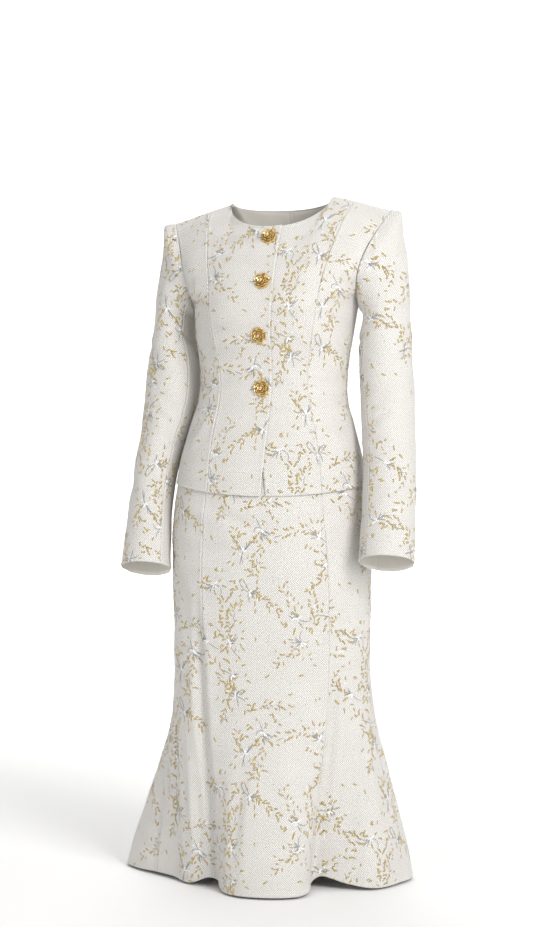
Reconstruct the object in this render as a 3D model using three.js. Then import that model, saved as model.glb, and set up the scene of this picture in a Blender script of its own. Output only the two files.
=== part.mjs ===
// A woman's two-piece church suit in its worn form: a collarless princess-seamed jacket with long
// set-in sleeves and four rose buttons, over a trumpet skirt cut in seven gores.
// Millimetres, +Z up. The front faces -Y and the wearer's left is +X.
// The origin is the middle of the shoulder line.
import * as THREE from "three";

// Cloth and seams
const CLOTH = 2;
const SEAM_GAP = 0.3;
const CLEARANCE = 0.5;

// Jacket landmarks of the upright, untwisted form
const ARMPIT_Z = -172;
const NECK = { half: 94.5, side: 16, front: -32, back: -2, frontDepth: 78, backDepth: 62 };
const SHOULDER_TIP = { x: 205, z: -15 };
const PRINCESS_AT_SHOULDER = 0.38;
const HEM_DIP = 13;
const SECTION_POWER = 2.2;

// Jacket sections from hem to armpit: half width, depth before and behind the side seam,
// and how far the princess seams stand from the middle
const JACKET_SECTIONS = [
  { z: -506, half: 176, front: 122, back: 125, seam: 106, backSeam: 92 },
  { z: -453, half: 167, front: 118, back: 121, seam: 101, backSeam: 86 },
  { z: -398, half: 152.5, front: 110, back: 108, seam: 93, backSeam: 78 },
  { z: -361, half: 141, front: 104, back: 96, seam: 85, backSeam: 72 },
  { z: -314, half: 136.5, front: 101, back: 90, seam: 80.5, backSeam: 68 },
  { z: -270, half: 140, front: 105, back: 92, seam: 86, backSeam: 74 },
  { z: -231, half: 146, front: 114, back: 98, seam: 93, backSeam: 82 },
  { z: -172, half: 154, front: 124, back: 104, seam: 101, backSeam: 92 },
];

// Fullness over the bust, raised from the front sections
const BUST = { x: 80, z: -182, spreadX: 40, spreadZ: 48, rise: 7 };

// How far each front laps past the middle, from neck to hem
const LAP = [
  { z: 20, width: 18.5 },
  { z: -300, width: 18.5 },
  { z: -350, width: 14 },
  { z: -407, width: 7 },
  { z: -453, width: 2 },
  { z: -519, width: -3.5 },
];
const LAP_LIFT = 1.5;

// Posture: sideways shift of the middle and turn of the front towards the wearer's right
const POSTURE = [
  { z: 20, shift: 5, turn: 15 },
  { z: -49, shift: 2.4, turn: 15 },
  { z: -131, shift: -2, turn: 15 },
  { z: -229, shift: -9, turn: 15 },
  { z: -314, shift: -11, turn: 13 },
  { z: -400, shift: -14, turn: 9.5 },
  { z: -506, shift: -17, turn: 7 },
  { z: -700, shift: -15, turn: 6 },
  { z: -860, shift: -15, turn: 5 },
  { z: -1230, shift: -15, turn: 5 },
];
const SHOULDER_TILT = { degrees: 3.4, none: -314, full: -60 };

// Skirt sections from the waist to the knee; below it the gores flare into the hem folds
const BAND = { top: -298, bottom: -332, slack: 0.8, lapSlack: 1.5 };
const SKIRT_TOP = BAND.bottom - SEAM_GAP;
const SKIRT_SLACK = { half: 3.6, front: 5, back: 3.6 };
const SKIRT_SECTIONS = [
  { z: -506, half: 172.4, front: 117, back: 121.4 },
  { z: -560, half: 179.5, front: 118.5, back: 122 },
  { z: -647, half: 184.5, front: 118.5, back: 121 },
  { z: -720, half: 183.5, front: 116, back: 119 },
  { z: -795, half: 182, front: 113, back: 117 },
  { z: -855, half: 182, front: 111, back: 116 },
  { z: -1240, half: 182, front: 111, back: 116 },
];
const HEM_Z = -1240;

// Share of the hem folds reached at each height
const FLARE = [
  { z: -840, share: 0 },
  { z: -888, share: 0.04 },
  { z: -956, share: 0.17 },
  { z: -1036, share: 0.41 },
  { z: -1124, share: 0.7 },
  { z: -1198, share: 0.92 },
  { z: -1240, share: 1 },
];

// Folds round the skirt. Angles in degrees from the centre front, positive towards the wearer's
// left: where each line runs at the knee and at the hem, how far out it hangs at the hem, and how
// much the hem rises there. A named line is a seam.
const FOLDS = [
  { knee: -180, hem: -180, radius: 236, rise: 0, seam: "centre_back" },
  { knee: -169, hem: -169, radius: 230, rise: 3 },
  { knee: -157, hem: -158, radius: 202, rise: 12 },
  { knee: -145, hem: -146, radius: 232, rise: 3, seam: "back_right" },
  { knee: -131, hem: -132, radius: 214, rise: 11 },
  { knee: -119, hem: -119, radius: 258, rise: 3 },
  { knee: -107, hem: -105, radius: 290, rise: 0 },
  { knee: -99, hem: -96, radius: 262, rise: 0 },
  { knee: -92, hem: -86, radius: 216, rise: 2, seam: "side_right" },
  { knee: -80, hem: -75, radius: 185, rise: 2 },
  { knee: -68, hem: -60, radius: 167, rise: 0 },
  { knee: -60, hem: -48, radius: 144, rise: 14 },
  { knee: -53, hem: -40, radius: 137, rise: 6, seam: "front_right" },
  { knee: -38, hem: -29, radius: 163, rise: 0 },
  { knee: -20, hem: -17, radius: 182, rise: 0 },
  { knee: 0, hem: 2, radius: 188, rise: 0 },
  { knee: 20, hem: 19, radius: 185, rise: 0 },
  { knee: 37, hem: 28, radius: 167, rise: 2 },
  { knee: 51, hem: 36.6, radius: 134, rise: 6, seam: "front_left" },
  { knee: 58, hem: 46, radius: 139, rise: 20 },
  { knee: 66, hem: 55.5, radius: 178, rise: 8 },
  { knee: 74, hem: 64, radius: 222, rise: 0 },
  { knee: 84, hem: 78, radius: 246, rise: 0 },
  { knee: 93, hem: 91.5, radius: 263, rise: 0, seam: "side_left" },
  { knee: 106, hem: 108, radius: 230, rise: 5 },
  { knee: 119, hem: 120, radius: 206, rise: 12 },
  { knee: 131, hem: 132, radius: 238, rise: 3 },
  { knee: 145, hem: 146, radius: 234, rise: 3, seam: "back_left" },
  { knee: 157, hem: 158, radius: 202, rise: 12 },
  { knee: 169, hem: 169, radius: 230, rise: 3 },
  { knee: 180, hem: 180, radius: 236, rise: 0, seam: "centre_back" },
];

// Sleeve sections from armpit to cuff: the middle of the arm, half its breadth and half its depth
const SLEEVES = {
  right: [
    { z: -200, x: -193, y: 57, breadth: 36.5, depth: 57 },
    { z: -232, x: -196, y: 57, breadth: 38, depth: 57 },
    { z: -277, x: -195, y: 57, breadth: 48, depth: 56 },
    { z: -314, x: -197, y: 57, breadth: 51.5, depth: 55 },
    { z: -351, x: -201, y: 55, breadth: 51.5, depth: 54 },
    { z: -388, x: -208.5, y: 50, breadth: 48, depth: 53 },
    { z: -435, x: -220, y: 42, breadth: 43, depth: 52 },
    { z: -506, x: -234.5, y: 28, breadth: 39.5, depth: 50 },
    { z: -564, x: -242, y: 15, breadth: 40.5, depth: 50 },
    { z: -662, x: -249, y: -8, breadth: 46.5, depth: 51 },
  ],
  left: [
    { z: -200, x: 194, y: -50, breadth: 43, depth: 57 },
    { z: -232, x: 193, y: -49, breadth: 46.5, depth: 57 },
    { z: -290, x: 194.5, y: -46, breadth: 48, depth: 56 },
    { z: -351, x: 197.5, y: -46, breadth: 49, depth: 54 },
    { z: -420, x: 198.5, y: -60, breadth: 48.5, depth: 52 },
    { z: -500, x: 199, y: -82, breadth: 48, depth: 51 },
    { z: -570, x: 196.5, y: -102, breadth: 49, depth: 51 },
    { z: -639, x: 192.5, y: -121, breadth: 51, depth: 52 },
  ],
};
const CAP = { reach: 72, lift: 26, drop: 90, ease: 1.5, puff: 10 };
const CUFF_LEAN = 1.4;
// How much higher the front of each cuff is than its middle, below the elbow
const CUFF_SKEW = { rise: 9, none: 520, full: 650 };
const UNDER_SLEEVE = { from: 0.375, to: 0.69 };

// Rose buttons on the lapped front: radius, petal rings and height over the cloth
const BUTTON = { radius: 15, height: 9, rim: 3.2, petals: 7, sectors: 24, standoff: 0.9 };
const BUTTON_HEIGHTS = [-51, -130, -228, -325];

// Mesh steps
const STEPS = {
  bodyRows: 12,
  yokeRows: 8,
  centre: 8,
  side: 6,
  flareRows: 8,
  thighRows: 4,
  perFold: 2,
  capRows: 6,
  armRows: 10,
  upperSleeve: 15,
  underSleeve: 8,
  band: 56,
};

const COLORS = { brocade: 0xece6da, gold: 0xc9973a };
const DEGREE = Math.PI / 180;
const vec = (x, y, z) => new THREE.Vector3(x, y, z);
const { lerp, clamp, smoothstep } = THREE.MathUtils;

// Smooth value of one column of a table at a height; the rows run downwards or upwards in z.
function columnAt(table, key, z) {
  const rows = table[0].z > table.at(-1).z ? [...table].reverse() : table;
  const at = clamp(z, rows[0].z, rows.at(-1).z);
  let i = 0;
  while (i < rows.length - 2 && at > rows[i + 1].z) i += 1;
  const slope = (a, b) => (rows[b][key] - rows[a][key]) / (rows[b].z - rows[a].z);
  const span = rows[i + 1].z - rows[i].z;
  const inner = slope(i, i + 1);
  const start = i > 0 ? (slope(i - 1, i) + inner) / 2 : inner;
  const end = i < rows.length - 2 ? (slope(i + 1, i + 2) + inner) / 2 : inner;
  return hermite(rows[i][key], rows[i + 1][key], start * span, end * span, (at - rows[i].z) / span);
}

function hermite(a, b, startSlope, endSlope, t) {
  const t2 = t * t;
  const t3 = t2 * t;
  return (
    a * (2 * t3 - 3 * t2 + 1) +
    startSlope * (t3 - 2 * t2 + t) +
    b * (3 * t2 - 2 * t3) +
    endSlope * (t3 - t2)
  );
}

// Catmull-Rom curve through evenly spaced numbers, t from 0 to their count less one.
function through(values, t) {
  const last = values.length - 1;
  const i = clamp(Math.floor(t), 0, last - 1);
  const before = i > 0 ? values[i - 1] : 2 * values[0] - values[1];
  const after = i < last - 1 ? values[i + 2] : 2 * values[last] - values[last - 1];
  return hermite(
    values[i],
    values[i + 1],
    (values[i + 1] - before) / 2,
    (after - values[i]) / 2,
    t - i,
  );
}

// Posture: turns and shifts a point of the upright form, then tilts the shoulders.
function posed(point) {
  const turn = -columnAt(POSTURE, "turn", point.z) * DEGREE;
  const x = point.x * Math.cos(turn) - point.y * Math.sin(turn) + columnAt(POSTURE, "shift", point.z);
  const y = point.x * Math.sin(turn) + point.y * Math.cos(turn);
  const share = smoothstep(point.z, SHOULDER_TILT.none, SHOULDER_TILT.full);
  return vec(x, y, point.z + x * Math.tan(SHOULDER_TILT.degrees * DEGREE) * share);
}

// Jacket lines run from 0 at the middle, over 1 and 2 at the neckline, to 3 at the princess seam
// and 5 at the side seam or armhole.
const NECK_POINT = 2;
const PRINCESS = 3;
const SIDE = 5;

// A point below the armpit on the front or the back, on a rounded section.
function bodyPoint(side, line, z) {
  const half = columnAt(JACKET_SECTIONS, "half", z);
  const depth = columnAt(JACKET_SECTIONS, side === "front" ? "front" : "back", z);
  const seam = columnAt(JACKET_SECTIONS, side === "front" ? "seam" : "backSeam", z);
  const seamAngle = Math.acos((seam / half) ** (SECTION_POWER / 2));
  const angle =
    line <= PRINCESS
      ? lerp(Math.PI / 2, seamAngle, line / PRINCESS)
      : lerp(seamAngle, 0, (line - PRINCESS) / (SIDE - PRINCESS));
  const x = half * Math.max(0, Math.cos(angle)) ** (2 / SECTION_POWER);
  let y = depth * Math.max(0, Math.sin(angle)) ** (2 / SECTION_POWER);
  if (side === "front") y += bustRise(x, z);
  const dip = side === "front" ? HEM_DIP * Math.sin(angle) ** 2 * smoothstep(-z, 400, 506) : 0;
  return vec(x, side === "front" ? -y : y, z - dip);
}

function bustRise(x, z) {
  const across = (x - BUST.x) / BUST.spreadX;
  const down = (z - BUST.z) / BUST.spreadZ;
  return BUST.rise * Math.exp(-(across ** 2 + down ** 2) / 2);
}

// Where each line ends: the neckline, the shoulder seam and its tip.
function topPoint(side, line) {
  const depth = side === "front" ? -NECK.frontDepth : NECK.backDepth;
  const low = side === "front" ? NECK.front : NECK.back;
  if (line <= NECK_POINT) {
    const angle = (line / NECK_POINT) * (Math.PI / 2);
    return vec(
      NECK.half * Math.sin(angle),
      depth * Math.cos(angle) ** 1.1,
      lerp(NECK.side, low, Math.cos(angle)),
    );
  }
  const along =
    line <= PRINCESS
      ? (line - NECK_POINT) * PRINCESS_AT_SHOULDER
      : lerp(PRINCESS_AT_SHOULDER, 1, (line - PRINCESS) / (SIDE - PRINCESS));
  return vec(lerp(NECK.half, SHOULDER_TIP.x, along), 0, lerp(NECK.side, SHOULDER_TIP.z, along));
}

// The armhole's edge, rise 0 at the armpit to 1 at the shoulder tip.
function armholePoint(side, rise) {
  const half = columnAt(JACKET_SECTIONS, "half", ARMPIT_Z);
  const bow = Math.sin(Math.PI * rise ** 0.75);
  const spread = side === "front" ? rise ** 1.7 : rise ** 1.2;
  return vec(
    lerp(half, SHOULDER_TIP.x, spread),
    side === "front" ? -62 * bow : 58 * bow,
    lerp(ARMPIT_Z, SHOULDER_TIP.z, rise),
  );
}

// The top edge without its corner at the neck point, for the lines that lead up to it.
function smoothTop(side, line) {
  const ends = [1, 0, 1, 2, 3].map((n) => topPoint(side, n));
  ends[0].x = -ends[0].x;
  const pick = (axis) => through(ends.map((p) => p[axis]), line + 1);
  return vec(pick("x"), pick("y"), pick("z"));
}

// A line from the middle to the princess seam above the armpit, rise 0 to 1.
function centreLine(side, line, rise) {
  const from = bodyPoint(side, line, ARMPIT_Z);
  const to = topPoint(side, line).lerp(smoothTop(side, line), 1 - rise ** 4);
  const towardsShoulder = line / PRINCESS;
  const round = lerp(1, side === "front" ? 0.75 : 0.62, towardsShoulder);
  const bend = lerp(1.8, side === "front" ? 2.3 : 2.6, towardsShoulder);
  return vec(
    lerp(from.x, to.x, rise ** 1.4),
    lerp(to.y, from.y, (1 - rise ** bend) ** round),
    lerp(from.z, to.z, rise),
  );
}

// A point between the armpit and the top edge. Between the princess seam and the armhole, the
// roundness of the armpit section fades upwards.
function yokePoint(side, line, rise) {
  if (line <= PRINCESS) return centreLine(side, line, rise);
  const across = (line - PRINCESS) / (SIDE - PRINCESS);
  const chord = (at) =>
    centreLine(side, PRINCESS, at).lerp(armholePoint(side, at), across);
  const fade = (1 - rise) ** 1.3 * 0.85 + 0.15 * (1 - rise ** 4);
  return chord(rise).addScaledVector(bodyPoint(side, line, ARMPIT_Z).sub(chord(0)), fade);
}

// The jacket's upright surface: line as above and negative past the middle, height 0 at the hem,
// 1 at the armpit and 2 at the top edge.
function jacketPoint(side, line, height) {
  const at = Math.abs(line);
  const bottom = JACKET_SECTIONS[0].z;
  const point =
    height <= 1
      ? bodyPoint(side, at, lerp(bottom, ARMPIT_Z, height))
      : yokePoint(side, at, height - 1);
  if (line < 0) point.x = -point.x;
  return point;
}

// A surface gives a point for two parameters; its outward normal comes from nearby points.
function normalOn(surface, u, v, limits, outward) {
  const step = 0.004;
  const [uLow, uHigh, vLow, vHigh] = limits;
  const du = surface(Math.min(u + step, uHigh), v).sub(surface(Math.max(u - step, uLow), v));
  const dv = surface(u, Math.min(v + step, vHigh)).sub(surface(u, Math.max(v - step, vLow)));
  return du.cross(dv).normalize().multiplyScalar(outward);
}

// Closed wall of cloth between an outer and an inner grid. Each cell of `grid` holds a point of the
// outer face and the outward normal there. A looped grid closes on itself along each row.
function clothWall(grid, looped = false) {
  const rows = grid.length;
  const columns = grid[0].length;
  const outer = grid.map((row) => row.map((cell) => cell.point));
  const inner = grid.map((row) =>
    row.map((cell) => cell.point.clone().addScaledVector(cell.normal, -CLOTH)),
  );
  const positions = [...outer.flat(), ...inner.flat()].flatMap((p) => p.toArray());
  const id = (layer, r, c) => layer * rows * columns + r * columns + (c % columns);
  const faces = [];
  const quad = (a, b, c, d) => faces.push(a, b, c, a, c, d);
  const cells = looped ? columns : columns - 1;
  for (let r = 0; r < rows - 1; r += 1) {
    for (let c = 0; c < cells; c += 1) {
      quad(id(0, r, c), id(0, r, c + 1), id(0, r + 1, c + 1), id(0, r + 1, c));
      quad(id(1, r, c), id(1, r + 1, c), id(1, r + 1, c + 1), id(1, r, c + 1));
    }
  }
  for (let c = 0; c < cells; c += 1) {
    quad(id(1, 0, c), id(1, 0, c + 1), id(0, 0, c + 1), id(0, 0, c));
    quad(id(0, rows - 1, c), id(0, rows - 1, c + 1), id(1, rows - 1, c + 1), id(1, rows - 1, c));
  }
  if (!looped) {
    const end = columns - 1;
    for (let r = 0; r < rows - 1; r += 1) {
      quad(id(0, r, 0), id(0, r + 1, 0), id(1, r + 1, 0), id(1, r, 0));
      quad(id(0, r, end), id(1, r, end), id(1, r + 1, end), id(0, r + 1, end));
    }
  }
  return solidGeometry(positions, faces);
}

// Indexed geometry whose faces point outwards, whichever way round they were made.
function solidGeometry(positions, faces) {
  let volume = 0;
  const corner = (n) => new THREE.Vector3().fromArray(positions, n * 3);
  for (let i = 0; i < faces.length; i += 3) {
    const [a, b, c] = [corner(faces[i]), corner(faces[i + 1]), corner(faces[i + 2])];
    volume += a.dot(b.cross(c));
  }
  const turned = volume < 0;
  const index = turned ? faces.map((_, i) => faces[i - (i % 3) + [0, 2, 1][i % 3]]) : faces;
  return new THREE.BufferGeometry()
    .setAttribute("position", new THREE.Float32BufferAttribute(positions, 3))
    .setIndex(index);
}

// Draws the sides and the top row of a grid in by half a seam's gap.
function withSeamGap(grid) {
  const drawIn = (edge, next) =>
    edge.point.add(next.point.clone().sub(edge.point).setLength(SEAM_GAP / 2));
  for (const row of grid) {
    drawIn(row[0], row[1]);
    drawIn(row.at(-1), row.at(-2));
  }
  grid.at(-1).forEach((edge, c) => drawIn(edge, grid.at(-2)[c]));
  return grid;
}

const brocade = new THREE.MeshStandardMaterial({ color: COLORS.brocade, roughness: 0.8 });
const gold = new THREE.MeshStandardMaterial({ color: COLORS.gold, roughness: 0.3, metalness: 1 });
const suit = new THREE.Group();

function add(name, geometry, material) {
  const mesh = new THREE.Mesh(geometry, material.clone());
  mesh.name = name;
  suit.add(mesh);
}

const steps = (from, to, count) =>
  Array.from({ length: count + 1 }, (_, i) => lerp(from, to, i / count));

// Jacket heights from hem to top edge, closer together near the shoulder.
const jacketHeights = [
  ...steps(0, 1, STEPS.bodyRows),
  ...steps(0, 1, STEPS.yokeRows)
    .slice(1)
    .map((t) => 1 + Math.sin((t * Math.PI) / 2)),
];

// Surface of one half of the jacket's front or back, seen on the wearer's right or left.
function jacketSurface(side, hand) {
  const mirror = hand === "right" ? -1 : 1;
  return (line, height) => {
    const point = jacketPoint(side, line, height);
    return posed(vec(mirror * point.x, point.y, point.z));
  };
}

function jacketNormal(side, hand, line, height) {
  const outward = (side === "front" ? 1 : -1) * (hand === "right" ? -1 : 1);
  const reach = height <= 1 ? [-PRINCESS, SIDE, 0, 1] : [-PRINCESS, SIDE, 1, 2];
  return normalOn(jacketSurface(side, hand), line, height, reach, outward);
}

// A point of the jacket with its normal. At the side and shoulder seams front and back share one.
function jacketCell(side, hand, line, height, lift) {
  const normal = jacketNormal(side, hand, line, height);
  const onSideSeam = line === SIDE && height <= 1;
  const onShoulderSeam = line >= NECK_POINT && height === 2;
  if (onSideSeam || onShoulderSeam) {
    normal.add(jacketNormal(side === "front" ? "back" : "front", hand, line, height)).normalize();
  }
  return { point: jacketSurface(side, hand)(line, height).addScaledVector(normal, lift), normal };
}

// The lap in line units: its width over the distance to the next line.
function lapLine(height) {
  const z = jacketPoint("front", 0, height).z;
  return columnAt(LAP, "width", z) / jacketPoint("front", 1, height).x;
}

function frontCentre(hand) {
  const side = hand === "right" ? 1 : -1;
  const rows = jacketHeights.map((height) =>
    steps(-lapLine(height), PRINCESS, STEPS.centre).map((line) => {
      const lift = side * LAP_LIFT * (1 - smoothstep(line, 0.7, 2.4));
      return jacketCell("front", hand, line, height, lift);
    }),
  );
  return withSeamGap(rows);
}

function bodyPanel(side, hand, from, to, count) {
  return withSeamGap(
    jacketHeights.map((height) =>
      steps(from, to, count).map((line) => jacketCell(side, hand, line, height, 0)),
    ),
  );
}

for (const hand of ["right", "left"]) {
  add(`jacket_front_centre_${hand}`, clothWall(frontCentre(hand)), brocade);
  for (const side of ["front", "back"]) {
    const panel = bodyPanel(side, hand, PRINCESS, SIDE, STEPS.side);
    add(`jacket_${side}_side_${hand}`, clothWall(panel), brocade);
  }
  const back = bodyPanel("back", hand, 0, PRINCESS, STEPS.centre);
  add(`jacket_back_centre_${hand}`, clothWall(back), brocade);
}

// Sleeve frame at a height: the middle, the way out from the body, the way to the front and the
// way down the arm.
function sleeveFrame(hand, z) {
  const table = SLEEVES[hand];
  const middle = (at) => vec(columnAt(table, "x", at), columnAt(table, "y", at), at);
  const down = middle(z - 4).sub(middle(z + 4));
  down.y *= CUFF_LEAN;
  down.normalize();
  const turn = -columnAt(POSTURE, "turn", z) * DEGREE;
  const mirror = hand === "right" ? -1 : 1;
  const out = vec(mirror * Math.cos(turn), mirror * Math.sin(turn), 0);
  out.addScaledVector(down, -out.dot(down)).normalize();
  const front = down.clone().cross(out).multiplyScalar(mirror);
  return { middle: middle(z), out, front, down };
}

// Round the sleeve: 0 outside, a quarter in front, a half inside and three quarters behind.
function armPoint(hand, round, z) {
  const { middle, out, front } = sleeveFrame(hand, z);
  const angle = round * 2 * Math.PI;
  middle.z += CUFF_SKEW.rise * Math.sin(angle) * smoothstep(-z, CUFF_SKEW.none, CUFF_SKEW.full);
  return middle
    .addScaledVector(out, columnAt(SLEEVES[hand], "breadth", z) * Math.cos(angle))
    .addScaledVector(front, columnAt(SLEEVES[hand], "depth", z) * Math.sin(angle));
}

function armholeSeam(hand, round) {
  const wrapped = ((round % 1) + 1) % 1;
  const side = wrapped <= 0.5 ? "front" : "back";
  const rise = Math.abs(1 - 2 * wrapped) ** 1.3;
  const point = armholePoint(side, rise);
  if (hand === "right") point.x = -point.x;
  return posed(point);
}

// The sleeve's surface: along 0 at the armhole, 1 at the armpit section and 2 at the cuff.
function sleevePoint(hand, round, along) {
  const table = SLEEVES[hand];
  const top = table[0].z;
  if (along > 1) return armPoint(hand, round, lerp(top, table.at(-1).z, along - 1));
  const { out, down } = sleeveFrame(hand, top);
  const start = armholeSeam(hand, round).addScaledVector(out, CLEARANCE);
  const end = armPoint(hand, round, top);
  const under = (1 - Math.cos(round * 2 * Math.PI)) / 2;
  const leave = out.clone().multiplyScalar(lerp(CAP.reach, 0, under));
  leave.z += lerp(CAP.lift, -CAP.drop, under);
  const puff = CAP.puff * (1 - under) * sleeveHead(along);
  const arrive = down.clone().multiplyScalar(CAP.ease * (start.z - end.z));
  const blend = (axis) => hermite(start[axis], end[axis], leave[axis], arrive[axis], along);
  return vec(blend("x"), blend("y"), blend("z")).addScaledVector(out, puff);
}

// Fullness of the sleeve head: soon after the seam, to 1, and gone by the armpit.
function sleeveHead(along) {
  const peak = 1 / 9;
  const fullness = (at) => at * (1 - at) ** 8;
  return fullness(along) / fullness(peak);
}

function sleevePiece(hand, from, to, count) {
  const surface = (round, along) => sleevePoint(hand, round, along);
  const outward = hand === "right" ? -1 : 1;
  const rows = [
    ...steps(0, 1, STEPS.capRows),
    ...steps(1, 2, STEPS.armRows).slice(1),
  ];
  const cells = rows.map((along) =>
    steps(from, to, count).map((round) => ({
      point: surface(round, along),
      normal: normalOn(surface, round, along, [-2, 2, 0, 2], outward),
    })),
  );
  return withSeamGap(cells);
}

for (const hand of ["right", "left"]) {
  const { from, to } = UNDER_SLEEVE;
  const under = sleevePiece(hand, from, to, STEPS.underSleeve);
  const upper = sleevePiece(hand, to - 1, from, STEPS.upperSleeve);
  add(`sleeve_under_${hand}`, clothWall(under), brocade);
  add(`sleeve_upper_${hand}`, clothWall(upper), brocade);
}

// Radius of a rounded section in a direction, degrees from the centre front.
function sectionRadius(half, front, back, degrees) {
  const across = Math.abs(Math.sin(degrees * DEGREE)) / half;
  const along = Math.cos(degrees * DEGREE);
  const depth = Math.abs(along) / (along > 0 ? front : back);
  return (across ** SECTION_POWER + depth ** SECTION_POWER) ** (-1 / SECTION_POWER);
}

function ringPoint(degrees, radius, z) {
  return posed(
    vec(radius * Math.sin(degrees * DEGREE), -radius * Math.cos(degrees * DEGREE), z),
  );
}

// The skirt fits inside the jacket down to the jacket's hem.
function skirtSize(key, z) {
  return z > JACKET_SECTIONS[0].z
    ? columnAt(JACKET_SECTIONS, key, z) - SKIRT_SLACK[key]
    : columnAt(SKIRT_SECTIONS, key, z);
}

// The skirt's surface: fold is a place in the list of folds, z its height before the hem rises.
function skirtPoint(fold, z) {
  const knee = through(FOLDS.map((line) => line.knee), fold);
  const hem = through(FOLDS.map((line) => line.hem), fold);
  const share = columnAt(FLARE, "share", z);
  const waistwards = smoothstep(z, -860, SKIRT_TOP);
  const upper = knee - 6 * waistwards * Math.sin(2 * knee * DEGREE);
  const [half, front, back] = ["half", "front", "back"].map((key) => skirtSize(key, z));
  const radius = lerp(
    sectionRadius(half, front, back, upper),
    through(FOLDS.map((line) => line.radius), fold),
    share,
  );
  const rise = through(FOLDS.map((line) => line.rise), fold) * share ** 3;
  return ringPoint(lerp(upper, hem, share), radius, z + rise);
}

// Under the jacket the rows keep the jacket's spacing, so that the two walls run side by side.
const bodyStep = (ARMPIT_Z - JACKET_SECTIONS[0].z) / STEPS.bodyRows;
const skirtHeights = [
  ...steps(HEM_Z, FLARE[0].z, STEPS.flareRows),
  ...steps(FLARE[0].z, JACKET_SECTIONS[0].z, STEPS.thighRows).slice(1),
  ...[1, 2, 3, 4, 5, 6].map((n) => JACKET_SECTIONS[0].z + n * bodyStep),
  SKIRT_TOP,
];

// Outward normal of the skirt, shared by both sides of the centre back seam.
function skirtNormal(fold, z) {
  const last = FOLDS.length - 1;
  const limits = [0, last, HEM_Z, SKIRT_TOP];
  const normal = normalOn(skirtPoint, fold, z, limits, 1);
  const atBack = fold === 0 || fold === last;
  return atBack ? normal.add(normalOn(skirtPoint, last - fold, z, limits, 1)).normalize() : normal;
}

function gore(firstSeam, lastSeam) {
  const from = FOLDS.findIndex((line) => line.seam === firstSeam);
  const to = FOLDS.findLastIndex((line) => line.seam === lastSeam);
  const cells = skirtHeights.map((z) =>
    steps(from, to, (to - from) * STEPS.perFold).map((fold) => ({
      point: skirtPoint(fold, z),
      normal: skirtNormal(fold, z),
    })),
  );
  return withSeamGap(cells);
}

const gores = [
  ["skirt_back_centre_right", "centre_back", "back_right"],
  ["skirt_back_side_right", "back_right", "side_right"],
  ["skirt_front_side_right", "side_right", "front_right"],
  ["skirt_front_centre", "front_right", "front_left"],
  ["skirt_front_side_left", "front_left", "side_left"],
  ["skirt_back_side_left", "side_left", "back_left"],
  ["skirt_back_centre_left", "back_left", "centre_back"],
];
for (const [name, firstSeam, lastSeam] of gores) {
  add(name, clothWall(gore(firstSeam, lastSeam)), brocade);
}

// The waistband fits just inside the jacket's waist.
function waistband() {
  const heights = steps(BAND.bottom, BAND.top, 2);
  return heights.map((z) =>
    steps(0, 360, STEPS.band)
      .slice(0, -1)
      .map((degrees) => {
        const slack = CLOTH + BAND.slack;
        const half = columnAt(JACKET_SECTIONS, "half", z) - slack;
        const front = columnAt(JACKET_SECTIONS, "front", z) - slack - BAND.lapSlack;
        const back = columnAt(JACKET_SECTIONS, "back", z) - slack;
        const point = ringPoint(degrees, sectionRadius(half, front, back, degrees), z);
        const middle = ringPoint(degrees, 0, z);
        return { point, normal: point.clone().sub(middle).normalize() };
      }),
  );
}
add("skirt_waistband", clothWall(waistband(), true), brocade);

// A rose button: a rounded rim, overlapping petals in two rings and a raised bud, on a flat back.
function roseButton() {
  const { radius, height, rim, petals, sectors } = BUTTON;
  const rings = [
    { at: 1, level: rim * 0.45, petal: 0 },
    { at: 1, level: rim, petal: 0.6 },
    { at: 0.8, level: rim + 2.6, petal: 1 },
    { at: 0.6, level: rim + 1.9, petal: 1 },
    { at: 0.42, level: rim + 4.2, petal: 0.8 },
    { at: 0.2, level: height - 1.4, petal: 0.3 },
  ];
  const positions = [0, 0, 0];
  const ringStart = (r) => 1 + r * sectors;
  const all = [{ at: 0.86, level: 0, petal: 0 }, ...rings];
  all.forEach((ring, r) => {
    for (let s = 0; s < sectors; s += 1) {
      const angle = (s / sectors) * 2 * Math.PI;
      const wave = Math.cos(petals * angle + r * 1.3);
      const out = radius * ring.at * (1 + 0.05 * ring.petal * (wave - 1));
      const level = ring.level + 0.7 * ring.petal * wave;
      positions.push(out * Math.cos(angle), out * Math.sin(angle), level);
    }
  });
  positions.push(0, 0, height - 0.4);
  const top = ringStart(all.length);
  const faces = [];
  for (let s = 0; s < sectors; s += 1) {
    const next = (s + 1) % sectors;
    faces.push(0, ringStart(0) + next, ringStart(0) + s);
    for (let r = 0; r < all.length - 1; r += 1) {
      const [low, high] = [ringStart(r), ringStart(r + 1)];
      faces.push(low + s, low + next, high + next, low + s, high + next, high + s);
    }
    faces.push(ringStart(all.length - 1) + s, ringStart(all.length - 1) + next, top);
  }
  return solidGeometry(positions, faces);
}

// Each button sits on the lapped front, on the middle line, facing out from the cloth.
BUTTON_HEIGHTS.forEach((z, n) => {
  const bottom = JACKET_SECTIONS[0].z;
  const height =
    z < ARMPIT_Z
      ? (z - bottom) / (ARMPIT_Z - bottom)
      : 1 + (z - ARMPIT_Z) / (NECK.front - ARMPIT_Z);
  const { point, normal } = jacketCell("front", "right", 0, height, LAP_LIFT);
  const place = new THREE.Matrix4().makeRotationFromQuaternion(
    new THREE.Quaternion().setFromUnitVectors(vec(0, 0, 1), normal),
  );
  place.setPosition(point.addScaledVector(normal, BUTTON.standoff));
  add(`button_${n + 1}`, roseButton().applyMatrix4(place), gold);
});

export default suit;
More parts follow.
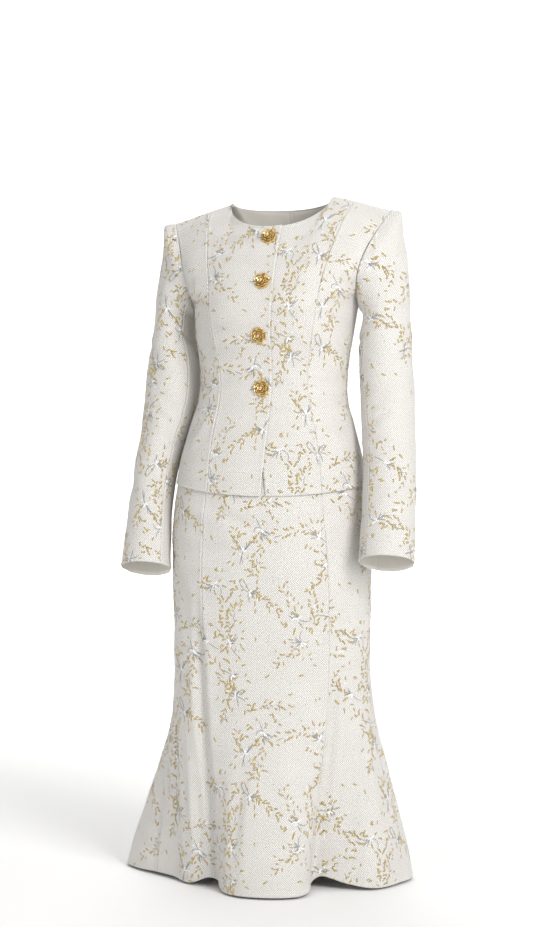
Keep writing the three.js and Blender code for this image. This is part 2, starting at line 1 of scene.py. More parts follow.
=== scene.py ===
"""Looks of a woman's two-piece church suit: a princess-seamed jacket with rose buttons over a
trumpet skirt, in ivory herringbone brocade with woven gold leaves and silver stems.
The tables of the form are in millimetres, the scene in metres. The front faces -Y and the
wearer's left is +X."""

import math

import bpy
import numpy as np
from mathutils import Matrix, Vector
from mathutils.kdtree import KDTree


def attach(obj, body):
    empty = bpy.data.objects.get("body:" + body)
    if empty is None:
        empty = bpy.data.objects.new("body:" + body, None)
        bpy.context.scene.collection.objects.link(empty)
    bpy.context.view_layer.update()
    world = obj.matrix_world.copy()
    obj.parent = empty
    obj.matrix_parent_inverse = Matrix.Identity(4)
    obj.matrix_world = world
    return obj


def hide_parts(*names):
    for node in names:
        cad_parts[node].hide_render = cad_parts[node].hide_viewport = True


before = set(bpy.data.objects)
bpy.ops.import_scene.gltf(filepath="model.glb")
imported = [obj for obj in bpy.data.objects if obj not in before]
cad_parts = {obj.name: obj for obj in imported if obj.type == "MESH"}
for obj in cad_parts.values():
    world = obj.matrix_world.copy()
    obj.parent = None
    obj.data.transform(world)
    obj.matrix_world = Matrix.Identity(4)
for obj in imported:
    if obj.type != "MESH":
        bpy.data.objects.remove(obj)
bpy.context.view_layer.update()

MM = 0.001
# In millimetres: thickness of the cloth, how far each front moves out or in where they lap, and
# half the gap between neighbouring pieces
CLOTH = 2.0
LAP_LIFT = 1.5
HALF_GAP = 0.15
# Lines between which the lap's lift fades
LAP_FADE = 0.7, 2.4


def table(columns, rows):
    """Named columns of a table, in rising order of its first column."""
    data = np.array(sorted(rows), float)
    return {name: data[:, i] for i, name in enumerate(columns.split())}


# The form: sections at heights z, posture and folds, in millimetres and degrees
JACKET = table("z half front back seam back_seam", [
    (-506, 176, 122, 125, 106, 92),
    (-453, 167, 118, 121, 101, 86),
    (-398, 152.5, 110, 108, 93, 78),
    (-361, 141, 104, 96, 85, 72),
    (-314, 136.5, 101, 90, 80.5, 68),
    (-270, 140, 105, 92, 86, 74),
    (-231, 146, 114, 98, 93, 82),
    (-172, 154, 124, 104, 101, 92),
])
JACKET_HEM = -506
ARMPIT = -172
LAP = table(
    "z width",
    [(20, 18.5), (-300, 18.5), (-350, 14), (-407, 7), (-453, 2), (-519, -3.5)],
)
POSTURE = table("z shift turn", [
    (20, 5, 15),
    (-49, 2.4, 15),
    (-131, -2, 15),
    (-229, -9, 15),
    (-314, -11, 13),
    (-400, -14, 9.5),
    (-506, -17, 7),
    (-700, -15, 6),
    (-860, -15, 5),
    (-1230, -15, 5),
])
SKIRT_TOP = -332.3
SKIRT_SLACK = {"half": 3.6, "front": 5, "back": 3.6}
SKIRT = table("z half front back", [
    (-506, 172.4, 117, 121.4),
    (-560, 179.5, 118.5, 122),
    (-647, 184.5, 118.5, 121),
    (-720, 183.5, 116, 119),
    (-795, 182, 113, 117),
    (-855, 182, 111, 116),
    (-1240, 182, 111, 116),
])
SKIRT_HEM = -1240
FLARE = table("z share", [
    (-840, 0),
    (-888, 0.04),
    (-956, 0.17),
    (-1036, 0.41),
    (-1124, 0.7),
    (-1198, 0.92),
    (-1240, 1),
])
# Folds round the skirt: angle at the knee, angle at the hem, radius and rise of the hem
FOLDS = np.array([
    (-180, -180, 236, 0),
    (-169, -169, 230, 3),
    (-157, -158, 202, 12),
    (-145, -146, 232, 3),
    (-131, -132, 214, 11),
    (-119, -119, 258, 3),
    (-107, -105, 290, 0),
    (-99, -96, 262, 0),
    (-92, -86, 216, 2),
    (-80, -75, 185, 2),
    (-68, -60, 167, 0),
    (-60, -48, 144, 14),
    (-53, -40, 137, 6),
    (-38, -29, 163, 0),
    (-20, -17, 182, 0),
    (0, 2, 188, 0),
    (20, 19, 185, 0),
    (37, 28, 167, 2),
    (51, 36.6, 134, 6),
    (58, 46, 139, 20),
    (66, 55.5, 178, 8),
    (74, 64, 222, 0),
    (84, 78, 246, 0),
    (93, 91.5, 263, 0),
    (106, 108, 230, 5),
    (119, 120, 206, 12),
    (131, 132, 238, 3),
    (145, 146, 234, 3),
    (157, 158, 202, 12),
    (169, 169, 230, 3),
    (180, 180, 236, 0),
], float)
GORES = {
    "skirt_back_centre_right": (0, 3),
    "skirt_back_side_right": (3, 8),
    "skirt_front_side_right": (8, 12),
    "skirt_front_centre": (12, 18),
    "skirt_front_side_left": (18, 23),
    "skirt_back_side_left": (23, 27),
    "skirt_back_centre_left": (27, 30),
}
SLEEVES = {
    "right": table("z x y breadth depth", [
        (-200, -193, 57, 36.5, 57),
        (-232, -196, 57, 38, 57),
        (-277, -195, 57, 48, 56),
        (-314, -197, 57, 51.5, 55),
        (-351, -201, 55, 51.5, 54),
        (-388, -208.5, 50, 48, 53),
        (-435, -220, 42, 43, 52),
        (-506, -234.5, 28, 39.5, 50),
        (-564, -242, 15, 40.5, 50),
        (-662, -249, -8, 46.5, 51),
    ]),
    "left": table("z x y breadth depth", [
        (-200, 194, -50, 43, 57),
        (-232, 193, -49, 46.5, 57),
        (-290, 194.5, -46, 48, 56),
        (-351, 197.5, -46, 49, 54),
        (-420, 198.5, -60, 48.5, 52),
        (-500, 199, -82, 48, 51),
        (-570, 196.5, -102, 49, 51),
        (-639, 192.5, -121, 51, 52),
    ]),
}
# Sections are superellipses of this power
SQUARENESS = 2.2
BUST_RISE, BUST_X, BUST_Z, BUST_WIDTH, BUST_HEIGHT = 7, 80, -182, 40, 48
FRONT_DIP, DIP_FROM = 13, 400
# Degrees by which the shoulders tilt, and the heights between which the tilt sets in
SHOULDER_TILT = 3.4
TILT_HEIGHTS = -314, -60
# Neckline: half width, height at the neck point, and depth and height in the middle
NECK_HALF, NECK_TOP = 94.5, 16
NECK_MIDDLE = {"front": (-78, -32), "back": (62, -2)}
SHOULDER_TIP_X, SHOULDER_TIP_Z = 205, -15
# Share of the shoulder seam from the neck to the princess seam
PRINCESS_SHARE = 0.38
ARMPIT_HALF = 154
ARMHOLE_BOW = {"front": -62, "back": 58}
# Powers that shape the jacket above the armpit
ARMHOLE_SPREAD = {"front": 1.7, "back": 1.2}
PRINCESS_ROUNDNESS = {"front": 0.75, "back": 0.62}
PRINCESS_BEND = {"front": 2.3, "back": 2.6}
MIDDLE_BEND = 1.8
# Sleeve cap: how it leaves the armhole over the shoulder and under the arm, its steepness at the
# armpit, the padding and fullness of its head, and weights that round it below the shoulder tip
SLEEVE_TUCK = -0.3
CAP_REACH, CAP_LIFT, CAP_DROP, CAP_EASE = 72, 26, -90, 1.5
HEAD_PAD, HEAD_PUFF = 4.0, 14.0
CAP_ROUNDING = [(-3, 1), (-2, 2), (-1, 3), (0, 4), (1, 3), (2, 2), (3, 1)]
ROUNDING_STEP = 0.028
# How far the sleeve's sections lean with the arm, and how far the cuff's front rises
ARM_LEAN = 1.4
CUFF_SKEW = 9
SKEW_HEIGHTS = 520, 650
# How far the skirt's seams drift sideways above the knee, and how far its waistband lies inside
SEAM_DRIFT = 6
KNEE = -860
BAND_INSET, BAND_FRONT_INSET = 2.8, 1.5
BAND_BOTTOM, BAND_TOP = -332, -298


def vec(x, y, z):
    """Points from their three coordinates, which may be arrays or numbers."""
    return np.stack(np.broadcast_arrays(x, y, z), axis=-1).astype(float)


def lerp(a, b, t):
    return a + (b - a) * t


def smoothstep(x, low, high):
    t = np.clip((x - low) / (high - low), 0, 1)
    return t * t * (3 - 2 * t)


def hermite(a, b, start_slope, end_slope, t):
    t2, t3 = t * t, t * t * t
    return (
        a * (2 * t3 - 3 * t2 + 1)
        + start_slope * (t3 - 2 * t2 + t)
        + b * (3 * t2 - 2 * t3)
        + end_slope * (t3 - t2)
    )


def column(rows, key, z):
    """Smooth value of one column of a table at heights z."""
    zs, values = rows["z"], rows[key]
    secants = np.diff(values) / np.diff(zs)
    slopes = np.concatenate([secants[:1], (secants[1:] + secants[:-1]) / 2, secants[-1:]])
    at = np.clip(z, zs[0], zs[-1])
    i = np.clip(np.searchsorted(zs, at) - 1, 0, len(zs) - 2)
    span = zs[i + 1] - zs[i]
    return hermite(
        values[i], values[i + 1], slopes[i] * span, slopes[i + 1] * span, (at - zs[i]) / span
    )


def through(values, t):
    """Catmull-Rom curve through evenly spaced numbers, or arrays of them, at places t."""
    last = len(values) - 1
    padded = np.concatenate(
        [[2 * values[0] - values[1]], values, [2 * values[last] - values[last - 1]]]
    )
    i = np.clip(np.floor(t).astype(int), 0, last - 1)
    before, a, b, after = (padded[i + n] for n in range(4))
    return hermite(a, b, (b - before) / 2, (after - a) / 2, t - i)


def posed(p):
    """Posture: turns and shifts points of the upright form, then tilts the shoulders."""
    x, y, z = p[..., 0], p[..., 1], p[..., 2]
    turn = -np.radians(column(POSTURE, "turn", z))
    turned_x = x * np.cos(turn) - y * np.sin(turn) + column(POSTURE, "shift", z)
    turned_y = x * np.sin(turn) + y * np.cos(turn)
    tilt = math.tan(math.radians(SHOULDER_TILT)) * smoothstep(z, *TILT_HEIGHTS)
    return vec(turned_x, turned_y, z + turned_x * tilt)


def body_point(side, line, z):
    """A point of the jacket below the armpit: line 0 in the middle, 3 princess, 5 side seam."""
    half = column(JACKET, "half", z)
    depth = column(JACKET, side, z)
    seam = column(JACKET, "seam" if side == "front" else "back_seam", z)
    seam_angle = np.arccos((seam / half) ** 1.1)
    angle = np.where(
        line <= 3, lerp(math.pi / 2, seam_angle, line / 3), lerp(seam_angle, 0, (line - 3) / 2)
    )
    x = half * np.maximum(0, np.cos(angle)) ** (2 / SQUARENESS)
    y = depth * np.maximum(0, np.sin(angle)) ** (2 / SQUARENESS)
    if side == "back":
        return vec(x, y, z)
    across, up = (x - BUST_X) / BUST_WIDTH, (z - BUST_Z) / BUST_HEIGHT
    bust = BUST_RISE * np.exp(-(across**2 + up**2) / 2)
    dip = FRONT_DIP * np.sin(angle) ** 2 * smoothstep(-z, DIP_FROM, -JACKET_HEM)
    return vec(x, -y - bust, z - dip)


def top_point(side, line):
    """Where each line ends: the neckline, the shoulder seam and its tip."""
    depth, low = NECK_MIDDLE[side]
    angle = np.clip(line / 2, -1, 1) * (math.pi / 2)
    bend = np.maximum(np.cos(angle), 0)
    neck = vec(NECK_HALF * np.sin(angle), depth * bend**1.1, lerp(NECK_TOP, low, bend))
    outer = lerp(PRINCESS_SHARE, 1, (line - 3) / 2)
    along = np.where(line <= 3, (line - 2) * PRINCESS_SHARE, outer)
    x = lerp(NECK_HALF, SHOULDER_TIP_X, along)
    shoulder = vec(x, 0, lerp(NECK_TOP, SHOULDER_TIP_Z, along))
    return np.where((line <= 2)[..., None], neck, shoulder)


def armhole_point(side, rise):
    """The armhole's edge, rise 0 at the armpit to 1 at the shoulder tip."""
    bow = np.sin(math.pi * rise**0.75)
    x = lerp(ARMPIT_HALF, SHOULDER_TIP_X, rise ** ARMHOLE_SPREAD[side])
    return vec(x, ARMHOLE_BOW[side] * bow, lerp(ARMPIT, SHOULDER_TIP_Z, rise))


def smooth_top(side, line):
    """The top edge without its corner at the neck point."""
    ends = top_point(side, np.array([1.0, 0, 1, 2, 3]))
    ends[0, 0] *= -1
    return np.stack([through(ends[:, axis], line + 1) for axis in range(3)], axis=-1)


def centre_line(side, line, rise):
    """A line from the middle to the princess seam above the armpit, rise 0 to 1."""
    start = body_point(side, line, np.full_like(rise, ARMPIT))
    blend = (1 - rise**4)[..., None]
    end = lerp(top_point(side, line), smooth_top(side, line), blend)
    roundness = lerp(1, PRINCESS_ROUNDNESS[side], line / 3)
    bend = lerp(MIDDLE_BEND, PRINCESS_BEND[side], line / 3)
    return vec(
        lerp(start[..., 0], end[..., 0], rise**1.4),
        lerp(end[..., 1], start[..., 1], (1 - rise**bend) ** roundness),
        lerp(start[..., 2], end[..., 2], rise),
    )


def yoke_point(side, line, rise):
    """A point between the armpit and the top edge."""
    princess = np.full_like(line, 3.0)
    across = ((line - 3) / 2)[..., None]

    def chord(at):
        return lerp(centre_line(side, princess, at), armhole_point(side, at), across)

    fade = (1 - rise) ** 1.3 * 0.85 + 0.15 * (1 - rise**4)
    start = body_point(side, line, np.full_like(rise, ARMPIT))
    outer = chord(rise) + (start - chord(np.zeros_like(rise))) * fade[..., None]
    inner = centre_line(side, np.minimum(line, 3), rise)
    return np.where((line <= 3)[..., None], inner, outer)


def upright_point(side, line, height):
    """A point of the jacket: height 0 at the hem, 1 at the armpit and 2 at the top edge."""
    low = body_point(side, line, lerp(JACKET_HEM, ARMPIT, np.clip(height, 0, 1)))
    high = yoke_point(side, line, np.clip(height - 1, 0, 1))
    return np.where((height <= 1)[..., None], low, high)


def jacket_surface(side, hand):
    """Surface of one half of the jacket's front or back: line is negative past the middle."""
    mirror = -1 if hand == "right" else 1

    def surface(line, height):
        line, height = (a.astype(float) for a in np.broadcast_arrays(line, height))
        p = upright_point(side, np.abs(line), height)
        p[..., 0] *= np.sign(line + 1e-12) * mirror
        return posed(p)

    return surface


def lap_line(height):
    """How far the fronts lap past the middle, in line units, at an array of heights."""
    z = upright_point("front", np.zeros_like(height), height)[..., 2]
    one_line = upright_point("front", np.ones_like(height), height)[..., 0]
    return column(LAP, "width", z) / one_line


def sleeve_frame(hand, z):
    """The middle of the arm at heights z, and the ways out from the body, forward and down."""
    rows = SLEEVES[hand]

    def middle(at):
        return vec(column(rows, "x", at), column(rows, "y", at), at)

    down = middle(z - 4) - middle(z + 4)
    down[..., 1] *= ARM_LEAN
    down /= np.linalg.norm(down, axis=-1, keepdims=True)
    turn = -np.radians(column(POSTURE, "turn", z))
    mirror = -1 if hand == "right" else 1
    out = vec(mirror * np.cos(turn), mirror * np.sin(turn), 0 * z)
    out -= down * np.sum(out * down, axis=-1, keepdims=True)
    out /= np.linalg.norm(out, axis=-1, keepdims=True)
    return middle(z), out, np.cross(down, out) * mirror, down


def sleeve_surface(hand):
    """Round the sleeve from outside to front to inside to back; along 0 at the armhole, 1 at
    the armpit section and 2 at the cuff."""
    rows = SLEEVES[hand]
    top, cuff = rows["z"][-1], rows["z"][0]

    def arm(turn, z):
        middle, out, front, _ = sleeve_frame(hand, z)
        angle = turn * 2 * math.pi
        middle[..., 2] += CUFF_SKEW * np.sin(angle) * smoothstep(-z, *SKEW_HEIGHTS)
        across = column(rows, "breadth", z) * np.cos(angle)
        forward = column(rows, "depth", z) * np.sin(angle)
        return middle + out * across[..., None] + front * forward[..., None]

    def armhole(turn):
        wrapped = turn % 1
        rise = np.abs(1 - 2 * wrapped) ** 1.3
        in_front = (wrapped <= 0.5)[..., None]
        p = np.where(in_front, armhole_point("front", rise), armhole_point("back", rise))
        p[..., 0] *= -1 if hand == "right" else 1
        return posed(p)

    def surface(turn, along):
        turn, along = (a.astype(float) for a in np.broadcast_arrays(turn, along))
        _, out, _, down = sleeve_frame(hand, np.full_like(turn, top))
        under = (1 - np.cos(turn * 2 * math.pi)) / 2
        padded = sum(w * armhole(turn + n * ROUNDING_STEP) for n, w in CAP_ROUNDING)
        padded /= sum(w for _, w in CAP_ROUNDING)
        softness = smoothstep(along, 0, 0.3) * (1 - under) ** 2
        start = lerp(armhole(turn), padded, softness[..., None])
        start += out * (SLEEVE_TUCK + HEAD_PAD * softness)[..., None]
        end = arm(turn, np.full_like(turn, top))
        leave = out * lerp(CAP_REACH, 0, under)[..., None]
        leave[..., 2] += lerp(CAP_LIFT, CAP_DROP, under)
        capped = np.clip(along, 0, 1)
        fullness = capped * (1 - capped) ** 8 * 9**9 / 8**8
        puff = HEAD_PUFF * (1 - under) * fullness
        arrive = down * (CAP_EASE * (start[..., 2:] - end[..., 2:]))
        cap = hermite(start, end, leave, arrive, capped[..., None]) + out * puff[..., None]
        below = arm(turn, lerp(top, cuff, np.clip(along - 1, 0, 1)))
        return np.where((along > 1)[..., None], below, cap)

    return surface


def section_radius(half, front, back, degrees):
    """Radius of a superellipse section, at degrees round from the front."""
    across = np.abs(np.sin(np.radians(degrees))) / half
    along = np.cos(np.radians(degrees))
    depth = np.abs(along) / np.where(along > 0, front, back)
    return (across**SQUARENESS + depth**SQUARENESS) ** (-1 / SQUARENESS)


def ring_point(degrees, radius, z):
    angle = np.radians(degrees)
    return posed(vec(radius * np.sin(angle), -radius * np.cos(angle), z))


def skirt_surface(fold, z):
    """The skirt: fold is a place in the list of folds, z its height before the hem rises."""
    fold, z = (a.astype(float) for a in np.broadcast_arrays(fold, z))
    knee, hem, radius, rise = (through(FOLDS[:, n], fold) for n in range(4))
    share = column(FLARE, "share", z)
    drift = SEAM_DRIFT * smoothstep(z, KNEE, SKIRT_TOP)
    upper = knee - drift * np.sin(np.radians(2 * knee))
    sizes = [
        np.where(z > JACKET_HEM, column(JACKET, key, z) - slack, column(SKIRT, key, z))
        for key, slack in SKIRT_SLACK.items()
    ]
    reach = lerp(section_radius(*sizes, upper), radius, share)
    return ring_point(lerp(upper, hem, share), reach, z + rise * share**3)


def band_surface(degrees, z):
    """The waistband, close inside the jacket's waist."""
    degrees, z = (a.astype(float) for a in np.broadcast_arrays(degrees, z))
    sizes = (column(JACKET, key, z) - BAND_INSET for key in ("half", "front", "back"))
    half, front, back = sizes
    return ring_point(degrees, section_radius(half, front - BAND_FRONT_INSET, back, degrees), z)


# Soft creases, pressed into whatever cloth they cross
def crease(surface, places, width, depth, wander=0.35):
    """A crease along a line of places on a surface. Depth is negative for a trough."""
    t = np.linspace(0, len(places) - 1, 28)
    spots = np.array(places, float)
    line = surface(through(spots[:, 0], t), through(spots[:, 1], t))
    share = t / t[-1]
    phase = 2.4 * width + 0.7 * abs(depth) + 3.1 * spots[0, 1]
    swell = 1 + wander * np.sin(5.1 * share + phase)
    ends = np.sin(math.pi * np.clip(share, 0.02, 0.98)) ** 0.8
    return line, width * swell, depth * ends * (1 + wander * np.sin(7.7 * share + 2 * phase))


def pressed(points, creases):
    """How far each point moves out along its normal for a list of creases. A crease's section
    is a bell with a slight dip on either side."""
    flat = points.reshape(-1, 3)
    total = np.zeros(len(flat))
    for line, width, depth in creases:
        margin = 3.2 * width.max()
        beside = (flat > line.min(0) - margin) & (flat < line.max(0) + margin)
        near = np.all(beside, axis=1).nonzero()[0]
        if not len(near):
            continue
        a, b = line[:-1], line[1:]
        along = b - a
        offset = flat[near, None] - a
        t = np.clip(np.sum(offset * along, axis=2) / np.sum(along * along, axis=1), 0, 1)
        gap = np.linalg.norm(offset - along * t[..., None], axis=2)
        nearest = gap.argmin(axis=1)
        pick = np.arange(len(near))
        place = nearest + t[pick, nearest]
        span = np.arange(len(line))
        w = np.interp(place, span, width)
        far = gap[pick, nearest] / w
        shape = np.exp(-(far**2)) - 0.28 * np.exp(-(((far - 1.9) / 0.8) ** 2))
        total[near] += np.interp(place, span, depth) * shape
    return total.reshape(points.shape[:-1])


def undulation(points, amount, seed):
    """Smooth unevenness from a sum of waves that run in many directions."""
    rng = np.random.default_rng(seed)
    total = np.zeros(points.shape[:-1])
    for _ in range(14):
        way = rng.normal(size=3)
        way *= 2 * math.pi / (rng.uniform(70, 190) * np.linalg.norm(way))
        total += np.sin(points @ way + rng.uniform(0, 6.28))
    return total * amount / math.sqrt(7)


# Cloth pieces

# Distances in millimetres of the closer grid lines from an edge, and the length below which they
# move together
EDGE = np.array([0, 0.5, 1.1, 1.9, 3.0, 4.6])
EDGE_ROOM = 24
ROW_SPACING = 6
SAMPLES = 161
# How often the cloth coordinates are relaxed, and how far each move goes
ROUNDS = 240
FANNED_ROUNDS = 900
EAGERNESS = 1.6
# How often a place on the cloth is searched for, and how far off it may stay in millimetres
LOCATE_STEPS = 6
LOCATE_MISS = 0.5


def spaced(length, count, edges):
    """Places along a line, in millimetres: close by its two ends and even between them."""
    middle = np.linspace(edges[-1], length - edges[-1], count + 1)
    return np.concatenate([edges[:-1], middle, length - edges[-2::-1]])


def stops(low, high, spacing, length):
    """Values from low to high of a line that is so many millimetres long."""
    count = max(2, int(round((length - 2 * EDGE[-1]) / spacing)))
    return low + (high - low) * spaced(length, count, EDGE) / length


def two_parts(first, second):
    """Values from 0 to 1 and on to 2 of a line in two parts of so many millimetres."""
    inner = len(EDGE) - 1
    below, above = (stops(0, 1, ROW_SPACING, length) for length in (first, second))
    return np.concatenate([below[:-inner], 1 + above[inner:]])


def blend(grid, row, column):
    """Values of a grid at fractional rows and columns."""
    r = np.minimum(row.astype(int), grid.shape[0] - 2)
    c = np.minimum(column.astype(int), grid.shape[1] - 2)
    g, f = row - r, column - c
    if grid.ndim == 3:
        g, f = g[:, None], f[:, None]
    low = lerp(grid[r, c], grid[r, c + 1], f)
    return lerp(low, lerp(grid[r + 1, c], grid[r + 1, c + 1], f), g)


class Cloth:
    """One cut piece of cloth as a fine grid over its surface, with its arc lengths in
    millimetres as cloth coordinates: across from the middle, up from the level row. Where its
    columns fan out, the coordinates start from the level row's."""

    def __init__(
        self, surface, left, right, rows, level, spacing=4.5, creases=(), lift=0, fanned=False
    ):
        low = np.broadcast_to(left, rows.shape)
        places = lerp(low[:, None], right, np.linspace(0, 1, SAMPLES))
        line = surface(places, rows[:, None])
        arc = np.zeros(places.shape)
        arc[:, 1:] = np.cumsum(np.linalg.norm(np.diff(line, axis=1), axis=2), axis=1)
        lengths = arc[:, -1]
        count = max(4, int(round((lengths.max() - 2 * EDGE[-1]) / spacing)))
        self.edge = np.zeros((len(rows), 2 * len(EDGE) + count - 1))
        self.across = np.zeros_like(self.edge)
        self.place = np.zeros_like(self.edge)
        for r, length in enumerate(lengths):
            marks = spaced(length, count, EDGE * min(1, length / EDGE_ROOM))
            drawn = np.clip(marks, HALF_GAP, length - HALF_GAP)
            self.edge[r] = np.minimum(marks, length - marks)
            self.place[r] = np.interp(drawn, arc[r], places[r])
        self.base = surface(self.place, rows[:, None])
        self.normal = self._normals(surface, rows)
        steps = np.linalg.norm(np.diff(self.base, axis=0), axis=2)
        self.up = np.concatenate([np.zeros((1, steps.shape[1])), np.cumsum(steps, axis=0)])
        self.width, self.length = float(lengths.max()), float(self.up[-1].max())
        self.rim = np.minimum(self.up, self.up[-1] - self.up)
        self.up -= self.up[int(np.abs(rows - level).argmin())]
        length = np.linalg.norm(np.diff(self.base, axis=1), axis=2)
        level_part = length**2 - np.diff(self.up, axis=1) ** 2
        level_part = np.sqrt(np.maximum(level_part, (0.35 * length) ** 2))
        self.across[:, 1:] = np.cumsum(level_part, axis=1)
        self.across -= self.across[:, [self.across.shape[1] // 2]]
        if fanned:
            self.across[:] = self.across[int(np.abs(rows - level).argmin())]
        self._relax(FANNED_ROUNDS if fanned else ROUNDS)
        self.rows = rows
        self.offset = pressed(self.base, creases)
        if lift:
            self.offset += lift * (1 - smoothstep(self.place, *LAP_FADE))

    def _normals(self, surface, rows):
        step = 0.003
        v = rows[:, None]
        du = surface(self.place + step, v) - surface(self.place - step, v)
        low = np.maximum(v - step, rows.min())
        high = np.minimum(v + step, rows.max())
        normal = np.cross(du, surface(self.place, high) - surface(self.place, low))
        return normal / np.linalg.norm(normal, axis=-1, keepdims=True)

    def _relax(self, rounds):
        """Lays the cloth flat: moves the cloth coordinates until each short line between
        neighbours is as long as on the surface."""
        flat = np.stack([self.across, self.up], axis=-1)
        rows, columns = flat.shape[:2]
        pairs = []
        for down, over in ((0, 1), (1, 0), (1, 1), (1, -1)):
            first = np.s_[: rows - down, max(0, -over) : columns - max(0, over)]
            second = np.s_[down:, max(0, over) : columns - max(0, -over)]
            length = np.linalg.norm(self.base[second] - self.base[first], axis=-1)
            pairs.append((first, second, np.maximum(length, 1e-3)))
        shares = np.zeros((rows, columns))
        for first, second, _ in pairs:
            shares[first] += 1
            shares[second] += 1
        for _ in range(rounds):
            move = np.zeros_like(flat)
            for first, second, length in pairs:
                way = flat[second] - flat[first]
                now = np.maximum(np.linalg.norm(way, axis=-1), 1e-6)
                pull = way * ((now - length) / now / 2)[..., None]
                move[first] += pull
                move[second] -= pull
            flat += move * EAGERNESS / shares[..., None]
        self.across, self.up = flat[..., 0], flat[..., 1]

    def face(self, outward):
        """Turns the normals outwards."""
        self.normal *= outward
        return self

    def area(self):
        p = self.base
        a, b = p[1:, 1:] - p[:-1, :-1], p[1:, :-1] - p[:-1, 1:]
        return float(np.linalg.norm(np.cross(a, b), axis=-1).sum() / 2)

    def locate(self, across, up):
        """Rows and columns, as fractions, of cloth coordinates, and which lie on the piece."""
        grid = np.stack([self.across, self.up], axis=-1)
        rows, columns = grid.shape[:2]
        tree = KDTree(rows * columns)
        for n, (x, y) in enumerate(grid.reshape(-1, 2)):
            tree.insert((x, y, 0), n)
        tree.balance()
        nearest = np.array([tree.find((x, y, 0))[1] for x, y in zip(across, up)])
        row, column = (n.astype(float) for n in np.divmod(nearest, columns))
        goal = np.stack([across, up], axis=-1)
        for _ in range(LOCATE_STEPS):
            miss = goal - blend(grid, row, column)
            i = np.minimum(row.astype(int), rows - 2)
            j = np.minimum(column.astype(int), columns - 2)
            a, b, c, d = grid[i, j], grid[i, j + 1], grid[i + 1, j], grid[i + 1, j + 1]
            over = lerp(b - a, d - c, (row - i)[:, None])
            rise = lerp(c - a, d - b, (column - j)[:, None])
            size = over[:, 0] * rise[:, 1] - over[:, 1] * rise[:, 0]
            size = np.where(np.abs(size) < 1e-4, 1e-4, size)
            step_over = (miss[:, 0] * rise[:, 1] - miss[:, 1] * rise[:, 0]) / size
            step_rise = (over[:, 0] * miss[:, 1] - over[:, 1] * miss[:, 0]) / size
            column = np.clip(column + np.clip(step_over, -2, 2), 0, columns - 1)
            row = np.clip(row + np.clip(step_rise, -2, 2), 0, rows - 1)
        miss = goal - blend(grid, row, column)
        return row, column, np.abs(miss).max(axis=1) < LOCATE_MISS

    def at(self, row, column, lift):
        """Points of the outer face at fractional rows and columns, raised by lift."""
        return blend(self.outer, row, column) + blend(self.normal, row, column) * lift[:, None]


class Shell:
    """Vertices, faces and cloth coordinates gathered for one piece."""

    def __init__(self):
        self.points, self.faces, self.finish, self.uv = [], [], [], []
        self.count = 0

    def add(self, points, faces, finish, uv):
        """Points in mm, faces of three or four corners, and the cloth coordinates of points."""
        self.points.append(np.asarray(points, float).reshape(-1, 3))
        self.uv.append(np.asarray(uv, float).reshape(-1, 2))
        self.faces.extend([tuple(int(i) + self.count for i in face) for face in faces])
        self.finish.extend([finish] * len(faces))
        self.count += len(self.points[-1])

    def object(self, name, finishes):
        mesh = bpy.data.meshes.new(name)
        mesh.from_pydata((np.concatenate(self.points) * MM).tolist(), [], self.faces)
        for finish in finishes:
            mesh.materials.append(finish)
        mesh.polygons.foreach_set("material_index", np.array(self.finish, np.int32))
        mesh.polygons.foreach_set("use_smooth", np.ones(len(self.faces), bool))
        corners = np.zeros(len(mesh.loops), np.int32)
        mesh.loops.foreach_get("vertex_index", corners)
        layer = mesh.uv_layers.new(name="cloth")
        layer.data.foreach_set("uv", (np.concatenate(self.uv)[corners] * MM).ravel())
        piece = bpy.data.objects.new(name, mesh)
        bpy.context.scene.collection.objects.link(piece)
        return piece


def grid_faces(rows, columns, flip=False):
    index = np.arange(rows * columns).reshape(rows, columns)
    a, b, c, d = index[:-1, :-1], index[:-1, 1:], index[1:, 1:], index[1:, :-1]
    order = (a, d, c, b) if flip else (a, b, c, d)
    return np.stack(order, axis=-1).reshape(-1, 4)


# The white finish paints glints, a painted highlight on the threads; the dark finish serves both for
# specks in the cloth and for painted shade in buttonhole slits
CLOTH_FINISH, GOLD, SILVER, GLINT_WHITE, LINING, SPECK_AND_SLIT_SHADE = range(6)


# In millimetres: depth and width of the rolled edge; height, place and width of the seam
# allowance's ridge; height of the unevenness; width of the thinner edge and its lost share
ROLL, ROLL_WIDTH = 0.32, 1.0
RIDGE, RIDGE_AT, RIDGE_WIDTH = 0.85, 3.0, 1.8
UNEVENNESS = 0.7
THIN_WIDTH, THINNING = 0.8, 0.42


def sewn(cloth, flip, ridge=RIDGE):
    """Shell of a cloth piece with rolled edges, seam allowances showing softly beside them."""
    seam = np.minimum(cloth.edge, cloth.rim)
    dip = -ROLL * np.exp(-((seam / ROLL_WIDTH) ** 2))
    allowance = ridge * np.exp(-(((seam - RIDGE_AT) / RIDGE_WIDTH) ** 2))
    offset = cloth.offset + dip + allowance + undulation(cloth.base, UNEVENNESS, seed=5)
    cloth.outer = cloth.base + cloth.normal * offset[..., None]
    thick = CLOTH * (1 - THINNING * np.exp(-((seam / THIN_WIDTH) ** 2)))
    inner = cloth.base + cloth.normal * (offset - thick)[..., None]
    rows, columns = cloth.outer.shape[:2]
    uv = np.stack([cloth.across, cloth.up], -1)
    shell = Shell()
    shell.add(cloth.outer, grid_faces(rows, columns, flip=flip), CLOTH_FINISH, uv)
    shell.add(inner, grid_faces(rows, columns, flip=not flip), LINING, uv)
    around = np.arange(rows * columns).reshape(rows, columns)
    depth = rows * columns
    for line in (around[0], around[-1][::-1], around[:, -1], around[:, 0][::-1]):
        a, b = line[:-1], line[1:]
        quads = np.stack([a, a + depth, b + depth, b], axis=-1)
        quads = quads[:, ::-1] if flip else quads
        shell.faces.extend([tuple(int(i) for i in q) for q in quads])
        shell.finish.extend([CLOTH_FINISH] * len(quads))
    return shell


